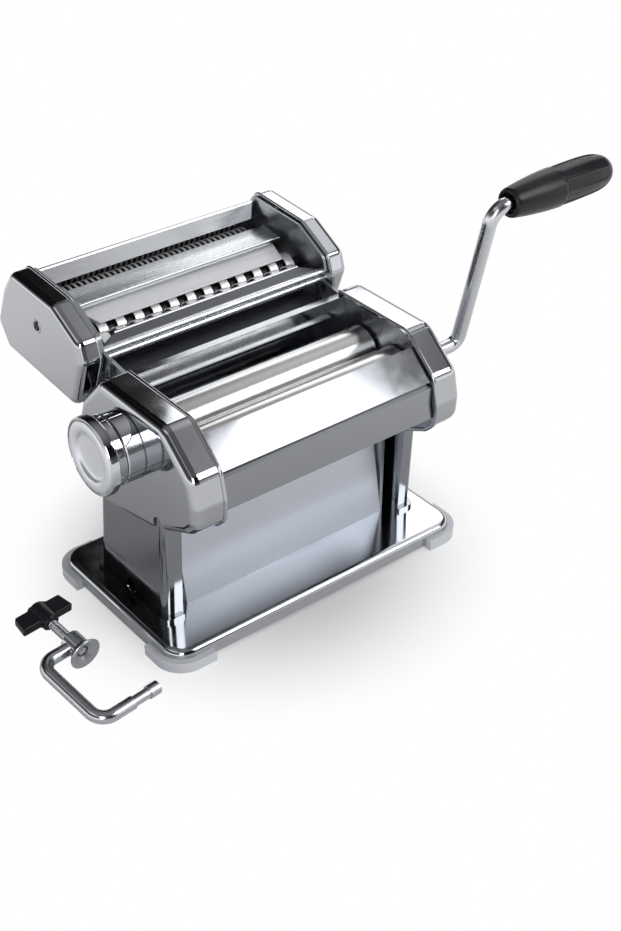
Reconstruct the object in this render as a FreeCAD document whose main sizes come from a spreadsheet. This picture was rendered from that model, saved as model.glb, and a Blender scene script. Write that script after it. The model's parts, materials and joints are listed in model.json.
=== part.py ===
import FreeCAD, Part
import math
import os
import types
import Sketcher

# Hand-cranked kitchen roller with a lift-off cutter head and a table clamp. Lengths are in millimetres.
# X runs along the rollers with the crank at +X, Y runs to the back, Z runs up from the table.

os.makedirs("parts", exist_ok=True)
doc = FreeCAD.newDocument("dough_roller")
sheet = doc.addObject("Spreadsheet::Sheet", "Sizes")

DRIVING_SIZES = (
    # stand
    ("base_width", 219), ("base_depth", 126), ("base_top", 12), ("tray_lift", 2.5), ("base_corner", 14),
    ("base_edge", 4), ("sheet_metal", 1), ("foot_size", 30), ("foot_height", 7), ("foot_reach", 4),
    ("pillar_depth", 72), ("pillar_front", -34), ("pillar_rise", 77), ("pillar_inner", 84),
    ("pillar_outer", 95.5), ("pillar_round", 6), ("pillar_flange", 2), ("back_lean", 7.5), ("front_lean", 3),
    ("plate", 2.5), ("screw_radius", 2.5), ("screw_head", 4.5),
    # rollers
    ("roller_length", 150), ("roller_radius", 14.5), ("gap_open", 2.5), ("gap_travel", 2.2),
    ("axis_height", 123.2), ("nip_depth", -19.75), ("shaft_radius", 5), ("fit", 0.06), ("free_gap", 0.4),
    # end caps
    ("cap_width", 21), ("cap_round", 6), ("cap_corner", 10),
    # dial and crank
    ("dial_radius", 23.5), ("collar_radius", 21), ("collar_length", 11), ("dial_length", 12.5),
    ("dial_ring", 7),
    ("cam_radius", 8), ("crank_reach", 100), ("crank_lean", 12.4), ("crank_offset", 28.5),
    ("crank_radius", 4.5), ("crank_bend", 7), ("tang_side", 6.2), ("tang_length", 15),
    ("grip_start", 11.5), ("grip_length", 84), ("grip_radius", 11.5),
    # cutter head
    ("cutter_rise", 2), ("cutter_setback", 26.25), ("pair_gap", 11.5), ("cutter_radius", 9),
    ("cutter_groove", 6.5), ("cutter_overlap", 2), ("cutter_shaft", 4), ("fine_pitch", 4),
    ("wide_pitch", 12.5), ("peg_radius", 3),
    # table clamp
    ("clamp_rod", 4), ("clamp_span", 54), ("clamp_throat", 25), ("clamp_arm", 40.5),
    ("clamp_corner", 9), ("clamp_screw_radius", 3.2), ("clamp_pad_radius", 10.2),
    ("clamp_across", -165.7), ("clamp_along", -72.5), ("clamp_yaw", 6.5),
)


class Size:
    """A length that carries both its number and its spreadsheet formula."""

    def __init__(self, value, text):
        self.value = value
        self.text = text

    def __add__(self, other):
        return joined(self, "+", other)

    def __radd__(self, other):
        return joined(other, "+", self)

    def __sub__(self, other):
        return joined(self, "-", other)

    def __rsub__(self, other):
        return joined(other, "-", self)

    def __mul__(self, other):
        return joined(self, "*", other)

    def __rmul__(self, other):
        return joined(other, "*", self)

    def __truediv__(self, other):
        return joined(self, "/", other)

    def __neg__(self):
        return joined(-1, "*", self)


def as_size(number):
    return number if isinstance(number, Size) else Size(float(number), f"({float(number)})")


def joined(first, sign, second):
    first, second = as_size(first), as_size(second)
    value = {
        "+": first.value + second.value,
        "-": first.value - second.value,
        "*": first.value * second.value,
    }.get(sign)
    if sign == "/":
        value = first.value / second.value
    return Size(value, f"({first.text} {sign} {second.text})")


for row, (alias, number) in enumerate(DRIVING_SIZES, 1):
    sheet.set(f"A{row}", alias)
    sheet.set(f"B{row}", str(number))
    sheet.setAlias(f"B{row}", alias)
doc.recompute()
S = types.SimpleNamespace(**{
    alias: Size(float(sheet.get(alias)), f"Sizes.{alias}") for alias, number in DRIVING_SIZES
})

X_AXIS = FreeCAD.Vector(1, 0, 0)
TURN_TO = {
    "x": FreeCAD.Rotation(FreeCAD.Vector(0, 1, 0), 90),
    "y": FreeCAD.Rotation(X_AXIS, -90),
    "z": FreeCAD.Rotation(),
}
LEFT_AND_RIGHT = (("left", -1), ("right", 1))
nodes = []


def bind(piece, **sizes):
    for name, size in sizes.items():
        piece.setExpression(name, as_size(size).text)


def place(piece, x, y, z):
    for letter, size in zip("xyz", (x, y, z)):
        piece.setExpression(f"Placement.Base.{letter}", as_size(size).text)


def node(label, piece):
    piece.Label = label
    nodes.append(piece)
    return piece


def span(side, near, far):
    """The low and high X of a piece that reaches from near to far on one side."""
    return (as_size(near), as_size(far)) if side > 0 else (-as_size(far), -as_size(near))


def box(x, y, z):
    piece = doc.addObject("Part::Box", "box")
    (x0, x1), (y0, y1), (z0, z1) = [[as_size(end) for end in pair] for pair in (x, y, z)]
    bind(piece, Length=x1 - x0, Width=y1 - y0, Height=z1 - z0)
    place(piece, x0, y0, z0)
    return piece


def cylinder(axis, ends, first, second, radius):
    """A round bar along one axis; first and second place it on the other two axes."""
    piece = doc.addObject("Part::Cylinder", "cylinder")
    low, high = [as_size(end) for end in ends]
    bind(piece, Radius=radius, Height=high - low)
    piece.Placement.Rotation = TURN_TO[axis]
    corner = [first, second]
    corner.insert("xyz".index(axis), low)
    place(piece, *corner)
    return piece


def join(*pieces):
    piece = doc.addObject("Part::MultiFuse", "join")
    piece.Shapes = list(pieces)
    piece.Refine = True
    return piece


def group(*pieces):
    piece = doc.addObject("Part::Compound", "group")
    piece.Links = list(pieces)
    return piece


def cut(base, *tools):
    piece = doc.addObject("Part::Cut", "cut")
    piece.Base = base
    piece.Tool = tools[0] if len(tools) == 1 else join(*tools)
    return piece


def empty_sketch(body, role, offset):
    sketch = body.newObject("Sketcher::SketchObject", "outline")
    plane = next(feature for feature in body.Origin.OriginFeatures if feature.Role == role)
    sketch.AttachmentSupport = [(plane, "")]
    sketch.MapMode = "FlatFace"
    sketch.setExpression("AttachmentOffset.Base.z", as_size(offset).text)
    return sketch


def sketch_on(body, role, outline, offset=0):
    """A closed sketch of straight lines on an origin plane, with every corner held by the sheet."""
    sketch = empty_sketch(body, role, offset)
    corners = [(as_size(across), as_size(up)) for across, up in outline]
    points = [FreeCAD.Vector(across.value, up.value, 0) for across, up in corners]
    count = len(points)
    sketch.addGeometry([Part.LineSegment(points[i], points[(i + 1) % count]) for i in range(count)])
    sketch.addConstraint([
        Sketcher.Constraint("Coincident", i, 2, (i + 1) % count, 1) for i in range(count)
    ])
    for i, corner in enumerate(corners):
        for kind, size in zip(("DistanceX", "DistanceY"), corner):
            number = sketch.addConstraint(Sketcher.Constraint(kind, -1, 1, i, 1, size.value))
            sketch.setExpression(f"Constraints[{number}]", size.text)
    return sketch


def pad(outline, low, high, role="YZ_Plane", body=None):
    """An outline pushed out from low to high: along X from the YZ plane, along Z from the XY plane."""
    body = body or doc.addObject("PartDesign::Body", "body")
    low, high = as_size(low), as_size(high)
    sketch = sketch_on(body, role, outline, low)
    feature = body.newObject("PartDesign::Pad", "pad")
    feature.Profile = sketch
    bind(feature, Length=high - low)
    return body


def turned(outline, y, z):
    """A lathe-turned piece: (x, radius) corners spun about a line along X."""
    body = doc.addObject("PartDesign::Body", "body")
    sketch = sketch_on(body, "XY_Plane", outline)
    feature = body.newObject("PartDesign::Revolution", "turned")
    feature.Profile = sketch
    feature.ReferenceAxis = (sketch, ["H_Axis"])
    feature.Angle = 360
    place(body, 0, y, z)
    return body


def round_edges(body, radius, chosen):
    """Fillet those edges of the body's last feature that the test picks."""
    doc.recompute()
    base = body.Tip
    names = [f"Edge{n}" for n, edge in enumerate(base.Shape.Edges, 1) if chosen(edge)]
    fillet = body.newObject("PartDesign::Fillet", "fillet")
    fillet.Base = (base, names)
    bind(fillet, Radius=radius)
    return body


def along(axis):
    """A test for straight edges along one axis."""
    def test(edge):
        return edge.Curve.TypeId == "Part::GeomLine" and abs(getattr(edge.Curve.Direction, axis)) > 0.999
    return test


def at_level(axis, size):
    """A test for edges that lie on a plane across one axis."""
    def test(edge):
        level = as_size(size).value
        low = getattr(edge.BoundBox, axis.upper() + "Min")
        high = getattr(edge.BoundBox, axis.upper() + "Max")
        return abs(low - level) < 1e-4 and abs(high - level) < 1e-4
    return test


def corner_steps(points, closed):
    """How far each corner of a run of points moves, in (across, up), to offset the run by one unit."""
    numbers = [(as_size(a).value, as_size(b).value) for a, b in points]
    count = len(numbers)
    normals = []
    for i in range(count if closed else count - 1):
        (a0, b0), (a1, b1) = numbers[i], numbers[(i + 1) % count]
        length = math.hypot(a1 - a0, b1 - b0)
        normals.append((-(b1 - b0) / length, (a1 - a0) / length))
    steps = []
    for i in range(count):
        before = normals[i - 1] if closed or i > 0 else normals[0]
        after = normals[i] if i < len(normals) else normals[-1]
        share = 1 + before[0] * after[0] + before[1] * after[1]
        steps.append(((before[0] + after[0]) / share, (before[1] + after[1]) / share))
    return steps


def inset(points, distance):
    """A closed outline, listed counter-clockwise, moved inwards."""
    steps = corner_steps(points, closed=True)
    return [(a + distance * step[0], b + distance * step[1]) for (a, b), step in zip(points, steps)]


def bent_sheet(points, x, thickness):
    """A folded sheet along X: a run of (y, z) corners, thickened to the left of the run."""
    steps = corner_steps(points, closed=False)
    far = [(a + thickness * step[0], b + thickness * step[1]) for (a, b), step in zip(points, steps)]
    return pad(list(points) + far[::-1], *x)


def rectangle(y, z):
    return [(y[0], z[0]), (y[1], z[0]), (y[1], z[1]), (y[0], z[1])]


# shared lines along X and the roller axes
half_length = S.roller_length / 2
cap_rim = half_length + 1
cap_face = cap_rim + S.cap_width
plate_in = half_length + 2
plate_out = plate_in + S.plate
half_spread = S.roller_radius + S.gap_open / 2
drive_y = S.nip_depth - half_spread
rear_y = S.nip_depth + half_spread
axis_z = S.axis_height
sheet_ends = (-plate_in + 0.2, plate_in - 0.2)


def near_nip(*offsets):
    """Points given from the nip between the rollers."""
    return [(S.nip_depth + across, axis_z + up) for across, up in offsets]


# Base: a pressed tray, open below, with rounded corners and top edge.
def tray_block(shrink, low, high):
    half_width, half_depth = S.base_width / 2 - shrink, S.base_depth / 2 - shrink
    body = pad(rectangle((-half_width, half_width), (-half_depth, half_depth)), low, high, "XY_Plane")
    round_edges(body, S.base_corner - shrink, along("z"))
    return round_edges(body, S.base_edge - shrink, at_level("z", high))


tab_screws = [(side * (plate_in - 7), y) for name, side in LEFT_AND_RIGHT for y in (-2, 16)]
tray_outside = tray_block(as_size(0), S.tray_lift, S.base_top)
tray_inside = tray_block(S.sheet_metal, S.tray_lift - 2, S.base_top - S.sheet_metal)
screw_holes = [
    cylinder("z", (S.base_top - 4, S.base_top + 1), x, y, S.screw_radius) for x, y in tab_screws
]
node("base_tray", cut(tray_outside, tray_inside, *screw_holes))

# Four soft corner feet that wrap the tray's corners.
feet = []
for x_sign in (-1, 1):
    for y_sign in (-1, 1):
        x_out = S.base_width / 2 + S.foot_reach
        y_out = S.base_depth / 2 + S.foot_reach
        x_pair = span(x_sign, x_out - S.foot_size, x_out)
        y_pair = span(y_sign, y_out - S.foot_size, y_out)
        block = pad(rectangle(x_pair, y_pair), 0, S.foot_height, "XY_Plane")
        x_edge, y_edge = (x_sign * x_out).value, (y_sign * y_out).value
        outer_corner = lambda edge: (along("z")(edge) and abs(edge.BoundBox.XMin - x_edge) < 1e-3
                                     and abs(edge.BoundBox.YMin - y_edge) < 1e-3)
        round_edges(block, S.base_corner + S.foot_reach, outer_corner)
        feet.append(cut(block, tray_outside))
node("corner_feet", group(*feet))

# Pillars: hollow pressed columns that lean forward a little, each with a stepped foot flange.
pillar_back = S.pillar_front + S.pillar_depth
pillar_top = S.base_top + S.pillar_rise
pillar_outline = [
    (S.pillar_front, S.base_top), (pillar_back, S.base_top),
    (pillar_back - S.back_lean, pillar_top), (S.pillar_front - S.front_lean, pillar_top),
]
wall = S.sheet_metal
pillar_hollow = [
    (S.pillar_front + wall, S.base_top - 1), (pillar_back - wall, S.base_top - 1),
    (pillar_back - S.back_lean - wall, pillar_top + 1),
    (S.pillar_front - S.front_lean + wall, pillar_top + 1),
]
socket_y, socket_z = as_size(3), S.base_top + 5.6
socket_bore = S.clamp_rod + 0.2
for name, side in LEFT_AND_RIGHT:
    outer_face = side * S.pillar_outer
    column = pad(pillar_outline, *span(side, S.pillar_inner, S.pillar_outer))
    doc.recompute()
    outer_edges = at_level("x", outer_face)
    tall = lambda edge: outer_edges(edge) and edge.BoundBox.ZLength > 20
    round_edges(column, S.pillar_round, tall)
    hollow_x = span(side, S.pillar_inner + S.sheet_metal, S.pillar_outer - S.sheet_metal)
    hollow = pad(pillar_hollow, *hollow_x)
    hollow_face = at_level("x", side * (S.pillar_outer - S.sheet_metal))
    round_edges(hollow, S.pillar_round - S.sheet_metal,
                lambda edge: hollow_face(edge) and edge.BoundBox.ZLength > 20)
    flange_out = S.pillar_outer + S.pillar_flange
    flange = pad(rectangle(span(side, S.pillar_inner, flange_out),
                           (S.pillar_front - S.pillar_flange, pillar_back + S.pillar_flange)),
                 S.base_top, S.base_top + 2.5, "XY_Plane")
    flange_face = at_level("x", side * flange_out)
    round_edges(flange, S.pillar_round, lambda edge: along("z")(edge) and flange_face(edge))
    column = cut(join(column, flange), hollow)
    if side < 0:
        column = cut(column, cylinder("x", (-flange_out - 1, -S.pillar_inner - 2), socket_y, socket_z,
                                      socket_bore + 1))
    node(f"{name}_pillar", column)

# Clamp socket: a short tube in the left pillar's foot that takes the clamp's tip.
socket_ends = (-S.pillar_outer, -S.pillar_inner - S.sheet_metal)
node("clamp_socket", cut(cylinder("x", socket_ends, socket_y, socket_z, socket_bore + 1),
                         cylinder("x", (socket_ends[0] - 1, socket_ends[1] + 1), socket_y, socket_z,
                                  socket_bore)))

# Chute: the metal sheet between the pillars, below the rollers, that slopes down to the front.
chute_line = [(as_size(-14), S.base_top + S.sheet_metal), (as_size(-25.5), S.base_top + S.sheet_metal),
              (S.nip_depth + 10, axis_z - 24)]
node("chute", bent_sheet(chute_line, (0.3 - cap_rim, cap_rim - 0.3), S.sheet_metal))

# End-cap outline, shared by the caps and the side plates, listed counter-clockwise from the top front.
cap_outline = near_nip((-21.5, 27.8), (-47, 7), (-51, -10), (-50.3, -23), (-42.5, -31), (-10, -46.5),
                       (49, -58.5), (69.5, -15), (62.5, 6), (42, 27.8))

# Side plates carry the rollers; each has a leg with a bent foot and an ear for the cutter's peg.
block_half = S.roller_radius - 5
flange_drop = as_size(27)
peg_y, peg_z = S.nip_depth + 55.5, axis_z + 23.8
rod_spots = near_nip((-38, -13.5), (50, 6), (48, -43))
bar_y = (rear_y + 11, rear_y + 17)
bar_z = (axis_z - 26, axis_z - 20)
front_bar_y = (drive_y - 17, drive_y - 11)
bush_outer = S.shaft_radius + 3
rod_radius = as_size(3)
leg_half = as_size(24)
cap_margin = S.sheet_metal + 0.3


def plate_hole(x, spot, radius):
    return cylinder("x", (x[0] - 1, x[1] + 1), spot[0], spot[1], radius)


for name, side in LEFT_AND_RIGHT:
    x = span(side, plate_in, plate_out)
    through = (x[0] - 1, x[1] + 1)
    upper = pad(inset(cap_outline, cap_margin), *x)
    round_edges(upper, S.cap_corner - cap_margin, along("x"))
    leg = box(x, (-leg_half, leg_half), (S.base_top, axis_z - 30))
    tab = box(span(side, plate_in - 14, plate_in), (-10, 24), (S.base_top, S.base_top + S.plate))
    ear = pad([(peg_y - 12, peg_z - 12), (peg_y + 1, peg_z - 9), (peg_y + 5, peg_z - 2),
               (peg_y + 2.5, peg_z + 4.5), (peg_y - 16, peg_z + 2)], *x)
    slot_y = (rear_y - S.gap_travel - block_half - S.free_gap, rear_y + block_half + S.free_gap)
    window = box(through, slot_y, (axis_z - block_half - S.fit, axis_z + block_half + S.fit))
    bar_slot = box(through, (bar_y[0] - S.gap_travel - S.free_gap, bar_y[1] + S.free_gap),
                   (bar_z[0] - S.free_gap, bar_z[1] + S.free_gap))
    holes = [plate_hole(x, spot, rod_radius) for spot in rod_spots]
    holes.append(plate_hole(x, (drive_y, axis_z), bush_outer))
    holes.append(plate_hole(x, (peg_y, peg_z), S.peg_radius))
    for screw_x, screw_y in tab_screws:
        if (screw_x.value > 0) == (side > 0):
            holes.append(cylinder("z", (S.base_top - 1, S.base_top + S.plate + 1), screw_x, screw_y,
                                  S.screw_radius))
    node(f"{name}_side_plate", cut(join(upper, leg, tab, ear), window, bar_slot, *holes))

# Screws up through the tray into the side plates' feet.
screws = []
for screw_x, screw_y in tab_screws:
    head_top = S.base_top - S.sheet_metal
    screws.append(join(cylinder("z", (head_top - 2.5, head_top), screw_x, screw_y, S.screw_head),
                       cylinder("z", (head_top - 1, S.base_top + S.plate), screw_x, screw_y,
                                S.screw_radius)))
node("stand_screws", group(*screws))


# End caps: hollow pressed covers with rounded edges.
def cap_block(outline, side, near, far, corner, edge):
    body = pad(outline, *span(side, near, far))
    round_edges(body, corner, along("x"))
    return round_edges(body, edge, at_level("x", side * far))


boss_radius = S.shaft_radius + 3
for name, side in LEFT_AND_RIGHT:
    outside = cap_block(cap_outline, side, cap_rim, cap_face, S.cap_corner, S.cap_round)
    inside = cap_block(inset(cap_outline, wall), side, cap_rim - 1, cap_face - wall,
                       S.cap_corner - wall, S.cap_round - wall)
    pillar_way = pad(inset(pillar_outline, -S.free_gap),
                     *span(side, S.pillar_inner - S.free_gap, S.pillar_outer + S.free_gap))
    arch_x = span(side, S.pillar_inner, cap_face + 1)
    arch = join(cylinder("x", arch_x, S.pillar_front + 1, pillar_top - 5.5, 5),
                box(arch_x, (S.pillar_front - 4, S.pillar_front + 6), (pillar_top - 20, pillar_top - 5.5)))
    ear_way = box(span(side, cap_rim - 1, plate_out + 0.3), (S.nip_depth + 40, S.nip_depth + 62),
                  (peg_z - 13, peg_z + 8))
    leg_way = box(span(side, cap_rim - 1, plate_out + 0.3), (-leg_half - 0.3, leg_half + 0.3),
                  (axis_z - 70, axis_z - 30))
    shaft_spot = (rear_y, S.cam_radius + 1) if side < 0 else (drive_y, boss_radius + 0.5)
    way_out = cylinder("x", span(side, cap_face - 9, cap_face + 1), shaft_spot[0], axis_z, shaft_spot[1])
    node(f"{name}_end_cap", cut(outside, inside, pillar_way, arch, leg_way, ear_way, way_out))

# Front panel: upper facet, a fold line, lower facet and a turned-in lip.
front_line = near_nip((-31, 14), (-28.3, 20.2), (-46.2, 5), (-44, 3.2), (-46.9, 1.2), (-48.8, -19),
                      (-44.8, -21))
node("front_panel", bent_sheet(front_line, sheet_ends, S.sheet_metal))

# Rear panel: feed lip, flat top and the back that slopes down behind the rear roller.
rear_line = near_nip((58, -36), (67, -15.5), (60.7, 5.2), (41, 26.2), (36, 26.2), (34, 16))
node("rear_panel", bent_sheet(rear_line, sheet_ends, S.sheet_metal))

# Tie rods between the side plates, and the front scraper on its bar.
node("tie_rods", group(*[
    cylinder("x", (-plate_out - 3, plate_out + 3), spot[0], spot[1], rod_radius) for spot in rod_spots
]))
node("scraper_bar", box((-plate_in, plate_in), front_bar_y, bar_z))
front_blade = [(front_bar_y[0], bar_z[1]), (front_bar_y[1] - 1, bar_z[1]), (drive_y - 7, axis_z - 14.2)]
node("front_scraper", bent_sheet(front_blade, sheet_ends, S.sheet_metal))

# Flanged bushes for the front roller's shaft.
bushes = []
for name, side in LEFT_AND_RIGHT:
    flange_x = span(side, plate_out, plate_out + 1.5)
    sleeve = join(cylinder("x", span(side, plate_in, plate_out), drive_y, axis_z, bush_outer),
                  cylinder("x", flange_x, drive_y, axis_z, bush_outer + 2))
    bushes.append(cut(sleeve, cylinder("x", span(side, plate_in - 1, plate_out + 3), drive_y, axis_z,
                                       S.shaft_radius + S.fit)))
node("drive_bushes", group(*bushes))

# Pegs that the cutter head hangs on.
node("cutter_pegs", group(*[
    cylinder("x", span(side, plate_in, plate_out + 3.2), peg_y, peg_z, S.peg_radius)
    for name, side in LEFT_AND_RIGHT
]))


# Gears: straight-sided deep teeth, because the rollers' distance changes with the dial.
def gear(x, y, z, root, tip, foot_width, tip_width, teeth, bore, turn):
    body = doc.addObject("PartDesign::Body", "gear")
    low, high = x
    disc_sketch = empty_sketch(body, "YZ_Plane", low)
    for radius in (root, bore):
        circle = Part.Circle(FreeCAD.Vector(), FreeCAD.Vector(0, 0, 1), radius.value)
        number = disc_sketch.addGeometry(circle)
        disc_sketch.addConstraint(Sketcher.Constraint("Coincident", number, 3, -1, 1))
        held = disc_sketch.addConstraint(Sketcher.Constraint("Radius", number, radius.value))
        disc_sketch.setExpression(f"Constraints[{held}]", radius.text)
    disc = body.newObject("PartDesign::Pad", "disc")
    disc.Profile = disc_sketch
    bind(disc, Length=high - low)
    foot = root - 1
    pad([(foot, -foot_width / 2), (tip, -tip_width / 2), (tip, tip_width / 2), (foot, foot_width / 2)],
        low, high, body=body)
    tooth = body.Tip
    doc.recompute()
    ring = body.newObject("PartDesign::PolarPattern", "teeth")
    ring.Originals = [tooth]
    ring.Axis = (disc_sketch, ["N_Axis"])
    ring.Angle = 360
    ring.Occurrences = teeth
    body.Tip = ring
    body.Placement.Rotation = FreeCAD.Rotation(X_AXIS, turn)
    place(body, 0, y, z)
    return body


ROLLER_TEETH = 12
seat_radius = S.shaft_radius + 1.5
gear_x = (plate_out + 4.2, plate_out + 10.5)
closed_spread = 2 * half_spread - S.gap_travel
gear_tip = closed_spread / 2 + 2.75
gear_root = closed_spread - gear_tip - 0.7


def roller_gear(y, turn):
    return gear(gear_x, y, axis_z, gear_root, gear_tip, as_size(3.4), as_size(1.2), ROLLER_TEETH,
                seat_radius, turn)


# Front roller: tube on a shaft whose right end is the crank's socket.
def roller(y):
    return cut(cylinder("x", (-half_length, half_length), y, axis_z, S.roller_radius),
               cylinder("x", (-half_length - 1, half_length + 1), y, axis_z, S.shaft_radius))


node("drive_roller", roller(drive_y))
socket_face = cap_face + 1.5
half_socket = S.tang_side / 2 + S.fit
drive_steps = join(cylinder("x", (-plate_out - 3, gear_x[0]), drive_y, axis_z, S.shaft_radius),
                   cylinder("x", (gear_x[0] - 0.5, gear_x[1]), drive_y, axis_z, seat_radius),
                   cylinder("x", (gear_x[1], socket_face), drive_y, axis_z, boss_radius))


def socket(face, y, z):
    """The square hole that takes the crank's tang."""
    return box((face - S.tang_length - 1, face + 1), (y - half_socket, y + half_socket),
               (z - half_socket, z + half_socket))


node("drive_shaft", cut(drive_steps, socket(socket_face, drive_y, axis_z)))
node("drive_gear", roller_gear(drive_y, 0))

# Rear roller, its bearing blocks in the side plates' windows, the bar that ties them and the rear scraper.
node("rear_roller", roller(rear_y))
node("rear_shaft", join(cylinder("x", (-plate_out - 4, gear_x[0]), rear_y, axis_z, S.shaft_radius),
                        cylinder("x", (gear_x[0] - 0.5, gear_x[1]), rear_y, axis_z, seat_radius)))
node("rear_gear", roller_gear(rear_y, 180 + 180 / ROLLER_TEETH))
pin_radius = as_size(2.5)
pin_y = rear_y - S.cam_radius - pin_radius - S.fit
cam_x = (-plate_out - 8.5, -plate_out - 5)
for name, side in LEFT_AND_RIGHT:
    slider = box(span(side, plate_in, plate_out + 0.1), (rear_y - block_half, rear_y + block_half),
                 (axis_z - block_half, axis_z + block_half))
    cheek = box(span(side, plate_out + 0.1, plate_out + 3.5), (rear_y - 13.5, rear_y + 17.5),
                (axis_z - flange_drop, axis_z + block_half + 2))
    block = join(slider, cheek)
    bore = cylinder("x", span(side, plate_in - 1, plate_out + 5), rear_y, axis_z, S.shaft_radius + S.fit)
    bar_hole = box(span(side, plate_in - 1, plate_out + 5), bar_y, bar_z)
    block = cut(block, bore, bar_hole)
    if side < 0:
        block = join(block, cylinder("x", (cam_x[0], -plate_out - 3), pin_y, axis_z, pin_radius))
    node(f"{name}_bearing_block", block)
node("carriage_bar", box((-plate_out - 3.5, plate_out + 3.5), bar_y, bar_z))
rear_blade = [(rear_y + 7, axis_z - 14.2), (bar_y[0] + 1, bar_z[1]), (bar_y[1], bar_z[1])]
node("rear_scraper", bent_sheet(rear_blade, sheet_ends, S.sheet_metal))

# Dial: a collar on the cap, and a hub that turns a snail cam against the left block's pin.
collar_face = -cap_face - S.collar_length
journal = S.cam_radius
node("dial_collar", cut(cylinder("x", (collar_face, -cap_face), rear_y, axis_z, S.collar_radius),
                        cylinder("x", (collar_face - 1, -cap_face + 1), rear_y, axis_z, journal + S.fit)))
knob_back = collar_face - 0.5
knob_face_x = knob_back - S.dial_length
web_front = knob_back - 3
hub_end = knob_face_x + 3.9
stem_half = as_size(4)
hub = join(cylinder("x", (collar_face - 0.3, cam_x[1]), rear_y, axis_z, journal),
           box((hub_end, collar_face), (rear_y - stem_half, rear_y + stem_half),
               (axis_z - stem_half, axis_z + stem_half)),
           cylinder("x", (hub_end, hub_end + 1), rear_y, axis_z, 9))
hub_seat = cylinder("x", (cam_x[0], cam_x[1] + 1), rear_y, axis_z, journal)
hub_tip = cylinder("x", (cam_x[0] - 0.1, cam_x[1]), rear_y, axis_z, 5)
node("dial_hub", join(cut(hub, hub_seat), hub_tip))

# Snail cam: its radius grows evenly over three quarters of a turn, then falls back.
CAM_TURN = 270
low_radius, high_radius = S.cam_radius.value, S.cam_radius.value + S.gap_travel.value


def cam_point(degrees, radius):
    angle = math.radians(180 - degrees)
    return FreeCAD.Vector(0, radius * math.cos(angle), radius * math.sin(angle))


rise = [cam_point(degrees, low_radius + S.gap_travel.value * degrees / CAM_TURN)
        for degrees in range(0, CAM_TURN + 1, 15)]
rise_curve = Part.BSplineCurve()
rise_curve.interpolate(rise)
top_arc = Part.Arc(*[cam_point(degrees, high_radius) for degrees in (CAM_TURN, 280, 290)])
fall = Part.LineSegment(cam_point(290, high_radius), cam_point(330, low_radius))
low_arc = Part.Arc(*[cam_point(degrees, low_radius) for degrees in (330, 345, 360)])
cam_wire = Part.Wire([curve.toShape() for curve in (rise_curve, top_arc, fall, low_arc)])
cam_depth = (cam_x[1] - cam_x[0]).value
cam_plate = Part.Face(cam_wire).extrude(FreeCAD.Vector(cam_depth, 0, 0))
cam_bore = Part.makeCylinder(5, cam_depth, FreeCAD.Vector(), X_AXIS)
cam = doc.addObject("Part::Feature", "cam")
cam.Shape = cam_plate.cut(cam_bore)
place(cam, cam_x[0], rear_y, axis_z)
node("dial_cam", cam)

# Knob: slides on the hub's square stem to unlock, with a pale dished disc in its face.
disc_radius = S.dial_radius - 1.3
recess = disc_radius * 0.65
ring_back = knob_face_x + S.dial_ring
web_radius = stem_half * 1.5
knob = turned([
    (knob_back, web_radius), (knob_back, S.collar_radius), (ring_back, S.collar_radius),
    (ring_back, S.dial_radius - 0.6), (ring_back - 0.6, S.dial_radius), (knob_face_x + 1.2, S.dial_radius),
    (knob_face_x + 0.6, S.dial_radius - 0.6), (knob_face_x + 0.6, disc_radius), (knob_face_x + 2, disc_radius),
    (knob_face_x + 2, recess), (web_front, recess), (web_front, web_radius),
], rear_y, axis_z)
web_ring = cut(cylinder("x", (web_front, knob_back), rear_y, axis_z, web_radius + 0.5),
               box((web_front - 1, knob_back + 1),
                   (rear_y - stem_half - S.fit, rear_y + stem_half + S.fit),
                   (axis_z - stem_half - S.fit, axis_z + stem_half + S.fit)))
node("dial_knob", join(knob, web_ring))
dish = [(2, 1), (1, 0.99), (0.2, 0.92), (0, 0.83), (0.4, 0.72), (1.5, 0.62), (2.4, 0.47), (2.8, 0.29), (2.9, 0),
        (3.6, 0), (3.5, 0.31), (3, 0.5), (2, 0.63)]
node("dial_face", turned([(knob_face_x + depth, disc_radius * share) for depth, share in dish], rear_y, axis_z))

# Crank: a bent rod with a square tang, and a grip that turns on its far end.
lean = math.radians(S.crank_lean.value)
arm = FreeCAD.Vector(0, -math.sin(lean), math.cos(lean))
start = FreeCAD.Vector((socket_face + S.free_gap).value, drive_y.value, axis_z.value)
elbow_x = (cap_face + S.crank_offset).value
bend = S.crank_bend.value
elbow = FreeCAD.Vector(elbow_x, start.y, start.z)
top = elbow + arm * S.crank_reach.value
pin_end = top + X_AXIS * (S.grip_start.value + S.grip_length.value - 8)


def bent_rod(corners, radius, bend_radius):
    """A round rod along straight runs with an arc at each inner corner."""
    edges = []
    last = corners[0]
    for before, corner, after in zip(corners, corners[1:], corners[2:]):
        inward = (before - corner).normalize()
        outward = (after - corner).normalize()
        reach = bend_radius / math.tan(inward.getAngle(outward) / 2)
        first, second = corner + inward * reach, corner + outward * reach
        middle = (inward + outward).normalize()
        centre_distance = bend_radius / math.sin(inward.getAngle(outward) / 2)
        crown = corner + middle * (centre_distance - bend_radius)
        edges += [Part.LineSegment(last, first).toShape(), Part.Arc(first, crown, second).toShape()]
        last = second
    edges.append(Part.LineSegment(last, corners[-1]).toShape())
    end = Part.Wire(Part.makeCircle(radius, corners[0], corners[1] - corners[0]))
    return Part.Wire(edges).makePipeShell([end], True, False)


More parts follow.
